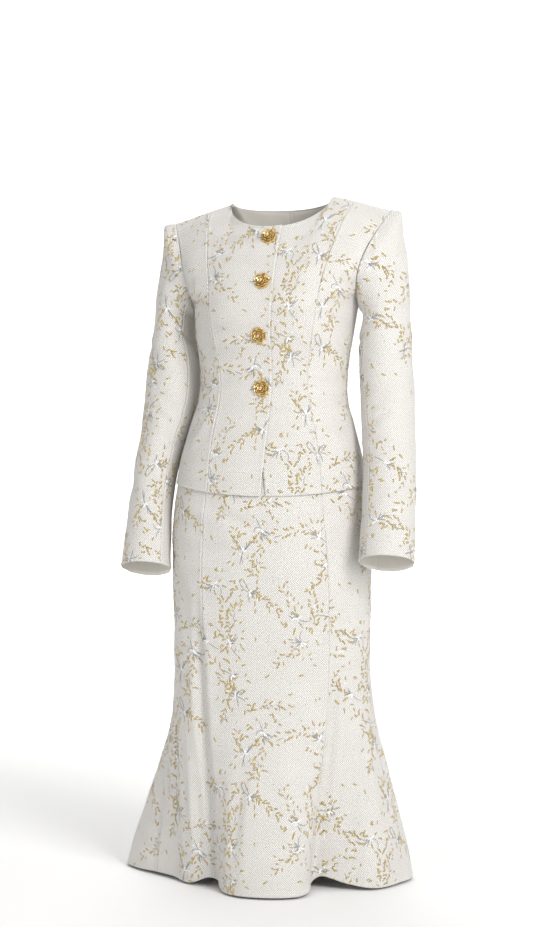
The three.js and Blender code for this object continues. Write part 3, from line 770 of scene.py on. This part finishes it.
# Woven pattern: clusters of open flowers and twigs on a repeat, with bare cloth between them
REPEAT = (318.0, 372.0)
CLUSTERS = [(0.20, 0.13), (0.71, 0.28), (0.27, 0.52), (0.80, 0.66), (0.35, 0.86)]
SINGLE_LEAVES, SPECKS = 34, 44
# How far the underside of a thread lies in the cloth
SUNK = -0.3
# Share of a part's corners that must lie on the cloth
ON_CLOTH = 0.55


def leaf(x, y, angle, length, width, finish=GOLD):
    """A short dash of thread, or of painted glint, closed below: its places, lifts, faces and finish.
    """
    t = np.array([0, 0.1, 0.5, 0.88, 1, 0.9, 0.5, 0.12])
    w = np.array([0.3, 0.9, 1, 0.62, -0.1, -0.8, -1, -0.7])
    along, across = (t - 0.5) * length, w * width / 2
    bow = 0.09 * length * np.sin(math.pi * t)
    c, s = math.cos(angle), math.sin(angle)
    places = np.stack([along * c - (across + bow) * s, along * s + (across + bow) * c], -1)
    middle = np.array([[-0.09 * length * s, 0.09 * length * c]])
    places = np.concatenate([middle, places, middle]) + (x, y)
    faces = [(0, 1 + i, 1 + (i + 1) % 8) for i in range(8)]
    faces += [(9, 1 + (i + 1) % 8, 1 + i) for i in range(8)]
    return places, np.array([0.5] + [0.14] * 8 + [SUNK]), faces, finish


def away(x, y, way, far):
    return x + far * math.cos(way), y + far * math.sin(way)


def ribbon(points, width, finish=SILVER, lift=0.3):
    """A thread line through points, narrow at its ends; also a painted white glint, or the painted
    shade of a buttonhole slit.
    """
    points = np.asarray(points, float)
    way = np.gradient(points, axis=0)
    way /= np.linalg.norm(way, axis=1, keepdims=True)
    side = np.stack([-way[:, 1], way[:, 0]], axis=1)
    w = width / 2 * (0.35 + 0.65 * np.sin(math.pi * np.linspace(0.08, 0.92, len(points))))
    left, right = points + side * w[:, None], points - side * w[:, None]
    count = len(points)
    places = np.concatenate([left, right, points])
    lifts = np.repeat([lift, lift, SUNK], count)
    faces = [tuple(face) for face in grid_faces(2, count)[:, ::-1]]
    for n in range(count - 1):
        faces.append((n, 2 * count + n, 2 * count + n + 1, n + 1))
        faces.append((count + n, count + n + 1, 2 * count + n + 1, 2 * count + n))
    faces.append((0, count, 2 * count))
    faces.append((count - 1, 3 * count - 1, 2 * count - 1))
    return places, lifts, faces, finish


def bent_line(x, y, heading, length, bend, count=7):
    """A line that bends evenly, and its heading at each point."""
    ways = heading + bend * np.linspace(0, 1, count)
    step = length / (count - 1)
    xs = x + np.concatenate([[0], np.cumsum(np.cos(ways[:-1]) * step)])
    ys = y + np.concatenate([[0], np.cumsum(np.sin(ways[:-1]) * step)])
    return np.stack([xs, ys], axis=1), ways


def gold_leaf(rng, x, y, angle):
    length = rng.choice([5.8, 7.4, 9.0, 11.5], p=[0.3, 0.42, 0.23, 0.05])
    return leaf(x, y, angle, length * rng.uniform(0.9, 1.1), rng.uniform(2.4, 3.6))


def blossom(rng, x, y, facing):
    """An open flower: bent stamens that fan out of its middle, painted white glints between them,
    a long stem, and gold leaves about it."""
    parts = []
    for _ in range(rng.integers(6, 10)):
        way = facing + rng.normal() * 0.9
        far = rng.uniform(0.5, 4)
        start = away(x, y, way, far)
        length = rng.choice([8, 12, 17], p=[0.35, 0.45, 0.2]) * rng.uniform(0.85, 1.15)
        line, _ = bent_line(*start, way + rng.normal() * 0.2, length, rng.normal() * 0.7)
        parts.append(ribbon(line, rng.uniform(1.2, 1.9)))
    for _ in range(rng.integers(1, 3)):
        way = facing + math.pi + rng.normal() * 0.7
        line, _ = bent_line(x, y, way, rng.uniform(18, 32), rng.normal() * 1.1, 10)
        parts.append(ribbon(line, rng.uniform(1.1, 1.5)))
    # White strokes near the middle: painted glints, highlights on the threads
    for _ in range(3):
        way = facing + rng.normal() * 1.4
        line, _ = bent_line(x, y, way, rng.uniform(6, 11), rng.normal() * 0.7)
        parts.append(ribbon(line, rng.uniform(1.6, 2.6), GLINT_WHITE, 0.4))
    turn = rng.uniform(0, 2 * math.pi)
    for n in range(rng.integers(13, 18)):
        way = turn + n * 2.4 + rng.normal() * 0.3
        far = 9 + 28 * rng.uniform() ** 0.8
        lean = way + rng.normal() * 0.7
        parts.append(gold_leaf(rng, *away(x, y, way, far), lean))
    # Small white patches: painted glints
    for _ in range(5):
        at = x + rng.normal() * 9, y + rng.normal() * 9
        length, width = rng.uniform(3.5, 7), rng.uniform(1.8, 3.2)
        parts.append(leaf(*at, rng.uniform(0, 2 * math.pi), length, width, GLINT_WHITE))
    return parts


def twig(rng, x, y, way, count):
    """A wandering row of gold leaves, single and in pairs, on a stem that shows in places."""
    parts = []
    place = np.array([x, y])
    bend = rng.normal() * 0.08
    for _ in range(count):
        way += bend + rng.normal() * 0.18
        place = place + rng.uniform(5.5, 9.0) * np.array([math.cos(way), math.sin(way)])
        both = rng.uniform() < 0.4
        for side in (-1, 1) if both else (rng.choice([-1, 1]),):
            off = side * rng.uniform(1.2, 9.0) * np.array([-math.sin(way), math.cos(way)])
            parts.append(gold_leaf(rng, *(place + off), way + side * rng.uniform(0.1, 1.1)))
        # Now and then a stroke shows: silver, or a painted white glint beside paired leaves
        if rng.uniform() < 0.2:
            length, lean = rng.uniform(8, 17), way + rng.normal() * 0.4
            line, _ = bent_line(*place, lean, length, rng.normal() * 0.9)
            parts.append(ribbon(line, rng.uniform(0.9, 1.4), GLINT_WHITE if both else SILVER))
    return parts


def cluster(rng, x, y):
    """A few flowers near each other, each with a twig that grows away from the middle."""
    parts = []
    first = rng.uniform(0, 2 * math.pi)
    count = rng.integers(2, 4)
    for n in range(count):
        way = first + n * 2 * math.pi / count + rng.normal() * 0.3
        far = rng.uniform(24, 52)
        at = away(x, y, way, far)
        parts += blossom(rng, *at, way)
        parts += twig(rng, *at, way + rng.normal() * 0.5, rng.integers(7, 13))
    parts += twig(rng, x, y, first + math.pi / count, rng.integers(8, 13))
    return parts


def one_repeat(seed):
    """The pattern's parts on one repeat."""
    rng = np.random.default_rng(seed)
    width, height = REPEAT
    parts = []
    for x, y in CLUSTERS:
        parts += cluster(rng, x * width, y * height)
    for _ in range(SINGLE_LEAVES):
        at = rng.uniform(0, width), rng.uniform(0, height)
        parts.append(gold_leaf(rng, *at, rng.uniform(0, 6.3)))
    for _ in range(SPECKS):
        at = rng.uniform(0, width), rng.uniform(0, height)
        parts.append(leaf(*at, rng.uniform(0, 6.3), 1.8, 1.3, SPECK_AND_SLIT_SHADE))
    return parts


PATTERN = one_repeat(seed=11)


def weave_pattern(shell, cloth, seed):
    """Lays the repeat over a cloth piece; what runs off its edge is cut there."""
    shift = np.random.default_rng(seed).uniform(0, 1, 2) * REPEAT
    corner = np.array([cloth.across.min(), cloth.up.min()])
    far = np.array([cloth.across.max(), cloth.up.max()])
    first = np.floor((corner - shift) / REPEAT).astype(int) - 1
    last = np.ceil((far - shift) / REPEAT).astype(int)
    laid = []
    for i in range(first[0], last[0] + 1):
        for j in range(first[1], last[1] + 1):
            origin = shift + np.array([i, j]) * REPEAT
            for places, lifts, faces, finish in PATTERN:
                middle = places.mean(axis=0) + origin
                if np.all(middle > corner) and np.all(middle < far):
                    laid.append((places + origin, lifts, faces, finish))
    spots = np.concatenate([part[0] for part in laid])
    row, column, inside = cloth.locate(spots[:, 0], spots[:, 1])
    points = cloth.at(row, column, np.concatenate([part[1] for part in laid]))
    start = 0
    for places, _, faces, finish in laid:
        end = start + len(places)
        if inside[start:end].mean() > ON_CLOTH:
            shell.add(points[start:end], faces, finish, places)
        start = end


# Finishes
class Nodes:
    """Small helper to wire a material."""

    def __init__(self, name):
        self.material = bpy.data.materials.new(name)
        self.material.use_nodes = True
        self.tree = self.material.node_tree
        self.shader = self.tree.nodes["Principled BSDF"]

    def plug(self, socket, value):
        """Links a socket to another one, or sets its number or colour."""
        if isinstance(value, bpy.types.NodeSocket):
            self.tree.links.new(value, socket)
        else:
            socket.default_value = (*value, 1) if hasattr(value, "__len__") else value

    def make(self, kind, **inputs):
        node = self.tree.nodes.new(kind)
        for key, value in inputs.items():
            self.plug(node.inputs[key], value)
        return node

    def math(self, operation, a, b=0.0, c=0.0):
        node = self.tree.nodes.new("ShaderNodeMath")
        node.operation = operation
        for socket, value in zip(node.inputs, (a, b, c)):
            self.plug(socket, value)
        return node.outputs[0]

    def mix(self, share, a, b):
        node = self.tree.nodes.new("ShaderNodeMix")
        node.data_type = "RGBA"
        for n, value in ((0, share), (6, a), (7, b)):
            self.plug(node.inputs[n], value)
        return node.outputs[2]

    def set(self, **values):
        for key, value in values.items():
            self.plug(self.shader.inputs[key.replace("_", " ")], value)

    def bump(self, height, distance, strength=1.0):
        node = self.make("ShaderNodeBump", Height=height, Distance=distance, Strength=strength)
        self.tree.links.new(node.outputs[0], self.shader.inputs["Normal"])


def cloth_places(nodes):
    """The cloth coordinates in millimetres, across and up."""
    uv = nodes.tree.nodes.new("ShaderNodeUVMap")
    uv.uv_map = "cloth"
    split = nodes.make("ShaderNodeSeparateXYZ", Vector=uv.outputs[0])
    across = nodes.math("MULTIPLY", split.outputs[0], 1000)
    return uv.outputs[0], across, nodes.math("MULTIPLY", split.outputs[1], 1000)


# Weave in millimetres: height of a herringbone band, and spacing of its lines and their beads
TURN = 24.0
TWILL = 4.2
BEAD = 3.1


def herringbone(nodes):
    """Height of the weave from 0 to 1: beaded diagonal lines that turn at every band."""
    uv, across, up = cloth_places(nodes)
    noise = nodes.make("ShaderNodeTexNoise", Vector=uv, Scale=55.0, Detail=1.0)
    drift = nodes.math("MULTIPLY_ADD", noise.outputs[0], 1.6, -0.8)
    zig = nodes.math("PINGPONG", nodes.math("ADD", up, 4800.0), TURN)
    run = nodes.math("ADD", nodes.math("ADD", across, zig), drift)
    wave = nodes.math("SINE", nodes.math("MULTIPLY", run, 2 * math.pi / TWILL))
    along = nodes.math("SUBTRACT", across, zig)
    bead = nodes.math("SINE", nodes.math("MULTIPLY", along, 2 * math.pi / BEAD))
    lines = nodes.math("MULTIPLY_ADD", wave, 0.42, 0.5)
    return uv, nodes.math("MULTIPLY_ADD", bead, 0.08, lines)


def brocade_finish():
    nodes = Nodes("brocade_ivory")
    uv, wave = herringbone(nodes)
    thread = nodes.make("ShaderNodeTexNoise", Vector=uv, Scale=440.0, Detail=3.0)
    broad = nodes.make("ShaderNodeTexNoise", Vector=uv, Scale=14.0, Detail=3.0)
    light = nodes.mix(broad.outputs[0], (0.97, 0.948, 0.912), (0.90, 0.876, 0.84))
    grain = nodes.math("MULTIPLY_ADD", thread.outputs[0], 1.9, -0.75)
    # Colour darkens with the random grain of the thread and in the weave's grooves; the darkening in
    # the grooves is painted shade
    groove_shade = nodes.math("MULTIPLY", nodes.math("POWER", wave, 1.6), 0.9)
    grain_and_groove_shade = nodes.math("MULTIPLY_ADD", grain, 0.85, groove_shade)
    colour = nodes.mix(nodes.math("MULTIPLY", grain_and_groove_shade, 0.76), light, (0.37, 0.35, 0.325))
    height = nodes.math("MULTIPLY_ADD", thread.outputs[0], 0.6, nodes.math("SUBTRACT", 1.0, wave))
    nodes.set(Base_Color=colour, Roughness=0.62)
    nodes.set(Sheen_Weight=0.12, Sheen_Roughness=0.5, Specular_IOR_Level=0.3)
    nodes.bump(height, 0.00085)
    return nodes.material


def thread_finish(name, colour, dark, metallic, roughness):
    """Woven metallic or silk thread, ribbed across; the same finish paints the white glints and the
    shade in the buttonhole slits.
    """
    nodes = Nodes(name)
    uv, across, up = cloth_places(nodes)
    run = nodes.math("ADD", across, up)
    rib = nodes.math("MULTIPLY_ADD", nodes.math("SINE", nodes.math("MULTIPLY", run, 7.0)), 0.5, 0.5)
    noise = nodes.make("ShaderNodeTexNoise", Vector=uv, Scale=140.0, Detail=2.0)
    nodes.set(Base_Color=nodes.mix(noise.outputs[0], colour, dark))
    nodes.set(Metallic=metallic, Roughness=roughness)
    nodes.bump(rib, 0.0001)
    return nodes.material


def lining_finish():
    nodes = Nodes("lining_satin")
    uv = cloth_places(nodes)[0]
    noise = nodes.make("ShaderNodeTexNoise", Vector=uv, Scale=60.0, Detail=4.0)
    nodes.set(Base_Color=nodes.mix(noise.outputs[0], (0.80, 0.77, 0.71), (0.72, 0.69, 0.63)))
    nodes.set(Roughness=0.4, Sheen_Weight=0.15)
    nodes.bump(noise.outputs[0], 0.0002)
    return nodes.material


def metal_finish():
    """Polished gold, with painted shade in the folds between the petals."""
    nodes = Nodes("gold_rose_metal")
    place = nodes.make("ShaderNodeTexCoord").outputs["Object"]
    noise = nodes.make("ShaderNodeTexNoise", Vector=place, Scale=260.0, Detail=2.0)
    uv = nodes.tree.nodes.new("ShaderNodeUVMap")
    uv.uv_map = "cloth"
    # The painted shade of the petal feet and folds, carried in the cloth coordinates
    fold = nodes.make("ShaderNodeSeparateXYZ", Vector=uv.outputs[0]).outputs[0]
    bright = nodes.mix(noise.outputs[0], (0.95, 0.74, 0.38), (0.80, 0.55, 0.21))
    nodes.set(Base_Color=nodes.mix(fold, bright, (0.14, 0.075, 0.02)), Metallic=1.0)
    nodes.set(Roughness=nodes.math("MULTIPLY_ADD", fold, 0.3, 0.24))
    nodes.bump(noise.outputs[0], 0.00025)
    return nodes.material


FINISHES = [
    brocade_finish(),
    thread_finish("gold_thread", (0.74, 0.58, 0.23), (0.48, 0.35, 0.10), 0.15, 0.40),
    thread_finish("silver_thread", (0.36, 0.36, 0.365), (0.25, 0.25, 0.255), 0.1, 0.4),
    # Pure white finish: painted glints
    thread_finish("painted_glint_white", (1.0, 1.0, 1.0), (0.94, 0.94, 0.94), 0.0, 0.2),
    lining_finish(),
    # Dark finish: real specks in the cloth, and painted shade in the buttonhole slits
    thread_finish("dark_speck_and_slit_shade", (0.22, 0.20, 0.18), (0.12, 0.11, 0.09), 0.0, 0.6),
]


# A cut piece fills at least this share of its flat rectangle
LEAST_CUT = 0.3


def finish_piece(shell, name, cloth):
    piece = shell.object(name, FINISHES)
    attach(piece, "root")
    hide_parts(name)
    flat = (math.ceil(cloth.width) * MM, math.ceil(cloth.length) * MM)
    area = min(cloth.area() * MM * MM, flat[0] * flat[1])
    area = max(area, LEAST_CUT * flat[0] * flat[1])


# Creases: places on a surface, a width, a depth in millimetres and, for some, how much they vary
JACKET_CREASES = [
    ([(4.9, 0.52), (4.0, 0.56), (3.1, 0.55), (2.3, 0.58)], 9, -2.2),
    ([(4.8, 0.63), (3.9, 0.62), (3.0, 0.66)], 7, -1.6),
    ([(4.9, 0.42), (4.2, 0.47), (3.6, 0.49)], 8, -1.6),
    ([(4.7, 0.95), (4.2, 1.12), (4.0, 1.35)], 9, -1.8),
    ([(4.4, 0.12), (3.6, 0.28), (3.1, 0.42)], 13, 1.8),
]
SKIRT_CREASES = [
    ([(11.2, -520), (13.4, -560), (15.6, -592)], 12, -3.2),
    ([(11.4, -552), (13.2, -588), (14.6, -612)], 13, 2.4),
    ([(19.5, -530), (17.8, -566), (16.6, -590)], 12, -2.2),
    ([(9.2, -640), (10.3, -730), (11.3, -850)], 16, -2.6),
    ([(20.2, -640), (19.4, -740), (18.6, -860)], 15, -2.4),
    ([(4.4, -560), (3.0, -600), (1.4, -615)], 13, -2.4),
    ([(26.0, -560), (27.4, -598), (29.0, -612)], 13, -2.4),
    ([(2.0, -760), (3.2, -820), (4.6, -850)], 15, -2.4),
    ([(28.2, -760), (27.0, -818), (25.4, -846)], 15, -2.4),
    ([(11.6, -700), (11.7, -980), (11.75, -1300)], 9, -8, 0.15),
    ([(9.0, -900), (9.1, -1040), (9.2, -1250)], 13, -4.5),
    ([(10.2, -880), (10.2, -1040), (10.3, -1260)], 13, 3.5),
    ([(8.0, -960), (7.9, -1060), (7.8, -1260)], 14, -3),
    ([(14.2, -930), (14.0, -1060), (13.8, -1270)], 15, -3),
    ([(15.6, -960), (15.8, -1080), (16.0, -1260)], 14, 2.4),
    ([(18.6, -760), (18.5, -980), (18.4, -1300)], 10, -5, 0.15),
    ([(20.6, -900), (20.9, -1040), (21.2, -1270)], 13, -3.6),
    ([(22.2, -930), (22.5, -1060), (22.8, -1260)], 13, -3),
    ([(25.4, -920), (25.2, -1060), (25.0, -1270)], 13, -4),
    ([(28.4, -920), (28.3, -1060), (28.1, -1270)], 13, -4),
    ([(1.6, -920), (1.7, -1060), (1.9, -1270)], 13, -4),
    ([(4.6, -920), (4.7, -1060), (4.9, -1270)], 13, -4),
]
# Creases of a sleeve: turn and place along of the middle, drop of its ends, width and depth
SLEEVE_CREASES = [
    (0.30, 1.44, 0.05, 9, -3.2),
    (0.33, 1.53, -0.03, 8, -2.6),
    (0.28, 1.36, 0.06, 8, -2.2),
    (0.62, 1.40, -0.05, 9, -2.4),
    (0.12, 1.16, 0.10, 10, -2.0),
    (-0.16, 1.28, 0.12, 11, -2.0),
    (0.10, 1.72, 0.08, 10, -2.2),
    (-0.14, 1.66, -0.07, 9, -1.8),
    (0.42, 1.08, 0.06, 9, -2.6),
    (0.05, 0.55, 0.30, 13, -1.6),
]
SLEEVE_CREASE_TURN = 0.13


def jacket_creases():
    found = []
    for side in ("front", "back"):
        for hand in ("right", "left"):
            surface = jacket_surface(side, hand)
            found += [crease(surface, *row) for row in JACKET_CREASES]
    return found


def sleeve_creases(surface):
    found = []
    for turn, along, drop, width, depth in SLEEVE_CREASES:
        before = (turn - SLEEVE_CREASE_TURN, along - drop)
        after = (turn + SLEEVE_CREASE_TURN, along + drop)
        found.append(crease(surface, [before, (turn, along), after], width, depth))
    return found


# Buttonholes: heights of the buttons in the upright form, distance of the slit's middle from its
# button, half its length, and width and lift of the slit and of its bound edges. The slit is a dark
# ribbon of painted shade.
BUTTON_HEIGHTS = [-51, -130, -228, -325]
HOLE_AT, HOLE_HALF = 15.5, 7
SLIT_WIDTH, SLIT_LIFT = 1.3, 0.35
BINDING_WIDTH, BINDING_LIFT, BINDING_AT = 1.5, 0.75, 1.35


def button_level(z):
    """Place of a button along the lapped front, from its height in the upright form."""
    if z < ARMPIT:
        return (z - JACKET_HEM) / (ARMPIT - JACKET_HEM)
    return 1 + (z - ARMPIT) / (NECK_MIDDLE["front"][1] - ARMPIT)


def add_buttonhole(shell, cloth, level):
    """A bound slit that runs out from behind its button; the slit is a dark ribbon of painted shade.
    """
    row = int(np.abs(cloth.rows - level).argmin())
    x = float(np.interp(0, cloth.place[row], cloth.across[row])) + HOLE_AT
    y = float(np.interp(0, cloth.place[row], cloth.up[row]))
    line = np.stack([np.linspace(x - HOLE_HALF, x + HOLE_HALF, 7), np.full(7, y)], axis=1)
    # The slit: a dark ribbon, painted shade inside the opening
    parts = [ribbon(line, SLIT_WIDTH, SPECK_AND_SLIT_SHADE, SLIT_LIFT)]
    for offset in (BINDING_AT, -BINDING_AT):
        edge = line + (0.4, offset)
        parts.append(ribbon(edge, BINDING_WIDTH, CLOTH_FINISH, BINDING_LIFT))
    for places, lifts, faces, finish in parts:
        rows, columns, _ = cloth.locate(places[:, 0], places[:, 1])
        shell.add(cloth.at(rows, columns, lifts), faces, finish, places)


def add_piece(name, cloth, outward, seed, holes=()):
    """Sews one cut piece, weaves the pattern into it and adds it to the scene."""
    shell = sewn(cloth.face(outward), flip=outward < 0)
    weave_pattern(shell, cloth, seed)
    for z in holes:
        add_buttonhole(shell, cloth, button_level(z))
    finish_piece(shell, name, cloth)


# Jacket: lines of the middle, the princess seam and the side seam, and lengths in millimetres
# from the hem to the armpit and from there to the top edge
MIDDLE_LINE, PRINCESS_LINE, SIDE_LINE = 0.0, 3.0, 5.0
heights = two_parts(345, 200)
creases = jacket_creases()
seed = 0
for hand in ("right", "left"):
    outward = -1 if hand == "right" else 1
    for side in ("front", "back"):
        surface = jacket_surface(side, hand)
        facing = outward if side == "front" else -outward
        seed += 1
        middle, lift, holes = MIDDLE_LINE, 0, ()
        if side == "front":
            middle, lift = -lap_line(heights), -outward * LAP_LIFT
            holes = BUTTON_HEIGHTS if hand == "right" else ()
        cloth = Cloth(surface, middle, PRINCESS_LINE, heights, 1, creases=creases, lift=lift)
        centre = f"jacket_{side}_centre_{hand}"
        add_piece(centre, cloth, facing, seed, holes)
        if holes:
            lapped = cloth
        seed += 1
        cloth = Cloth(surface, PRINCESS_LINE, SIDE_LINE, heights, 1, creases=creases)
        add_piece(f"jacket_{side}_side_{hand}", cloth, facing, seed)

# Sleeves: the turns between which the under sleeve lies, and lengths in millimetres of the cap
# and of the sleeve below it
UNDER = (0.375, 0.69)
along = two_parts(200, 455)
for hand in ("right", "left"):
    outward = -1 if hand == "right" else 1
    surface = sleeve_surface(hand)
    creases = sleeve_creases(surface)
    for part, left, right in (("upper", UNDER[1] - 1, UNDER[0]), ("under", *UNDER)):
        seed += 1
        cloth = Cloth(surface, left, right, along, 1, creases=creases, fanned=True)
        add_piece(f"sleeve_{part}_{hand}", cloth, outward, seed)

# Skirt, level at the hips, and its waistband
HIPS = -647
creases = [crease(skirt_surface, *row) for row in SKIRT_CREASES]
levels = stops(SKIRT_HEM, SKIRT_TOP, spacing=7, length=930)
for name, (first, last) in GORES.items():
    seed += 1
    cloth = Cloth(skirt_surface, float(first), float(last), levels, HIPS, 5.5, creases)
    add_piece(name, cloth, 1, seed)

levels = stops(BAND_BOTTOM, BAND_TOP, spacing=5, length=BAND_TOP - BAND_BOTTOM)
cloth = Cloth(band_surface, 0.0, 360.0, levels, (BAND_BOTTOM + BAND_TOP) / 2, spacing=6)
shell = sewn(cloth, flip=False, ridge=0)
finish_piece(shell, "skirt_waistband", cloth)


# Rose buttons: radius, number, turn, step and lip height of each ring of petals
ROSE_PETALS = [
    (15.0, 6, 0.2, 2.4, 1.0),
    (11.4, 5, 0.9, 2.3, 1.4),
    (7.6, 3, 0.1, 2.3, 1.3),
    (3.9, 2, 0.7, 1.8, 0.8),
]
ROSE_RADIUS, ROSE_FOOT = 15.0, 13.0
ROSE_RELIEF = 0.86
ROSE_STANDS_OFF = 0.9
ROSE_SECTORS, ROSE_RINGS = 126, 44


def rose_height(radius, angle):
    """Relief of a rose: rings of petals, each lapping over the next one, round a bud, and the
    painted shade at the foot of each petal and in the folds between petals."""
    level, shade = np.zeros_like(radius), np.zeros_like(radius)
    for size, petals, phase, step, lip in ROSE_PETALS:
        turn = ((angle + phase) * petals / (2 * math.pi)) % 1
        notch = 0.12 if size == ROSE_RADIUS else 0.3
        edge = size * (1 - notch * (2 * np.abs(turn - 0.5)) ** 2.2)
        inside = smoothstep(edge - radius, -0.1, 0.9)
        curl = lip * np.exp(-(((edge - radius - 1.1) / 1.2) ** 2))
        level += inside * (step + 1.9 * (turn - 0.5) * np.clip(radius / size, 0, 1) + curl)
        shade = np.maximum(shade, np.exp(-(((radius - edge - 0.4) / 0.9) ** 2)) * (size < ROSE_RADIUS))
        fold = (0.5 - np.abs(turn - 0.5)) * 2 * math.pi / petals * radius
        beside = (radius < edge) & (radius > 0.66 * edge)
        shade = np.maximum(shade, 0.85 * np.exp(-((fold / 0.8) ** 2)) * beside)
    return level, shade


def rose_button(name, place, normal):
    """A rose at a place, facing along the normal of the cloth, closed behind."""
    radius = ROSE_RADIUS * np.linspace(0, 1, ROSE_RINGS) ** 0.8
    angle = np.linspace(0, 2 * math.pi, ROSE_SECTORS + 1)
    grid_radius, grid_angle = np.meshgrid(radius, angle, indexing="ij")
    level, shade = rose_height(grid_radius, grid_angle)
    level *= ROSE_RELIEF
    level[0] = level[0].mean()
    points = vec(grid_radius * np.cos(grid_angle), grid_radius * np.sin(grid_angle), level)
    foot = vec(ROSE_FOOT * np.cos(angle), ROSE_FOOT * np.sin(angle), 0)
    shell = Shell()
    every = np.concatenate([points.reshape(-1, 3), foot, [[0, 0, 0]]])
    faces = [tuple(f) for f in grid_faces(ROSE_RINGS, ROSE_SECTORS + 1)]
    base = ROSE_RINGS * (ROSE_SECTORS + 1)
    rim = base - ROSE_SECTORS - 1
    for n in range(ROSE_SECTORS):
        faces.append((rim + n, rim + n + 1, base + n + 1, base + n))
        faces.append((base + n, base + n + 1, len(every) - 1))
    toward = Vector((0, 0, 1)).rotation_difference(Vector(normal)).to_matrix()
    every = every @ np.array(toward).T + place + normal * ROSE_STANDS_OFF
    marks = np.zeros((len(every), 2))
    # The cloth coordinates carry the painted shade to the metal finish
    marks[: shade.size, 0] = shade.ravel() / MM
    shell.add(every, faces, 0, marks)
    piece = shell.object(name, [gold_metal])
    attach(piece, "root")
    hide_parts(name)


gold_metal = metal_finish()
for n, z in enumerate(BUTTON_HEIGHTS):
    height = button_level(z)
    row = int(np.abs(lapped.rows - height).argmin())
    spot = jacket_surface("front", "right")(np.array(0.0), np.array(height))
    normal = lapped.normal[row, int(np.abs(lapped.place[row]).argmin())]
    rose_button(f"button_{n + 1}", spot + normal * LAP_LIFT, normal)


# Stage, lights and camera
def plain(name, colour, roughness):
    nodes = Nodes(name)
    nodes.set(Base_Color=colour, Roughness=roughness)
    return nodes.material


# In metres: height of the floor, its half width and where it bends up to the backdrop
FLOOR_Z = -1.2445
FLOOR_HALF = 9.0
BEND_Y = 7.4
BEND = 1.6
BACKDROP_HEIGHT = 8.0
profile = [(-FLOOR_HALF, 0.0), (BEND_Y, 0.0)]
for a in np.linspace(0.08, math.pi / 2, 16):
    profile.append((BEND_Y + BEND * math.sin(a), BEND * (1 - math.cos(a))))
profile.append((BEND_Y + BEND, BACKDROP_HEIGHT))
stage_mesh = bpy.data.meshes.new("studio_floor")
corners = [(x, y, FLOOR_Z + z) for y, z in profile for x in (-FLOOR_HALF, FLOOR_HALF)]
sides = [(2 * i, 2 * i + 1, 2 * i + 3, 2 * i + 2) for i in range(len(profile) - 1)]
stage_mesh.from_pydata(corners, [], sides)
stage_mesh.polygons.foreach_set("use_smooth", np.ones(len(sides), bool))
stage_mesh.materials.append(plain("studio_paper", (0.90, 0.90, 0.895), 0.9))
floor = bpy.data.objects.new("studio_floor", stage_mesh)
bpy.context.scene.collection.objects.link(floor)

AIR_COLOUR = (0.99, 0.985, 0.98, 1)
AIR_STRENGTH = 0.55
world = bpy.data.worlds.new("studio_air")
world.use_nodes = True
world.node_tree.nodes["Background"].inputs[0].default_value = AIR_COLOUR
world.node_tree.nodes["Background"].inputs[1].default_value = AIR_STRENGTH
bpy.context.scene.world = world


def soft_light(name, place, aim, size, power, colour=(1, 1, 1), spread=180):
    data = bpy.data.lights.new(name, "AREA")
    data.shape = "RECTANGLE"
    data.size, data.size_y = size
    data.energy = power
    data.color = colour
    data.spread = math.radians(spread)
    light = bpy.data.objects.new(name, data)
    light.location = place
    light.rotation_euler = (Vector(aim) - Vector(place)).to_track_quat("-Z", "Y").to_euler()
    bpy.context.scene.collection.objects.link(light)


# Lights in metres and watts: the place of each, where it aims, its size and its power
MIDDLE = (0, 0, -0.6)
soft_light("key_light", (2.05, -3.1, 1.3), MIDDLE, (1.4, 1.8), 120, (1, 0.992, 0.98))
soft_light("fill_light", (-2.8, -2.8, 0.3), MIDDLE, (1.8, 2.2), 19, (0.985, 0.99, 1))
soft_light("top_light", (-0.4, 1.4, 2.4), MIDDLE, (1.6, 1.6), 26)
soft_light("backdrop_light", (0, 5.4, 3.4), (0, 9.0, 0.4), (7.0, 1.2), 240)
soft_light("floor_light", (0, 4.0, 2.6), (0, 4.2, FLOOR_Z), (7.0, 2.4), 130, spread=100)
bpy.context.scene.view_settings.view_transform = "Standard"

CAMERA_AT = Vector((-0.025, -4.6, -0.12))
CAMERA_AIM = Vector((-0.025, 0, -0.469))
camera_data = bpy.data.cameras.new("camera")
camera_data.lens = 96.7
camera_data.sensor_width = 36
camera = bpy.data.objects.new("camera", camera_data)
camera.location = CAMERA_AT
camera.rotation_euler = (CAMERA_AIM - CAMERA_AT).to_track_quat("-Z", "Y").to_euler()
bpy.context.scene.collection.objects.link(camera)
bpy.context.scene.camera = camera
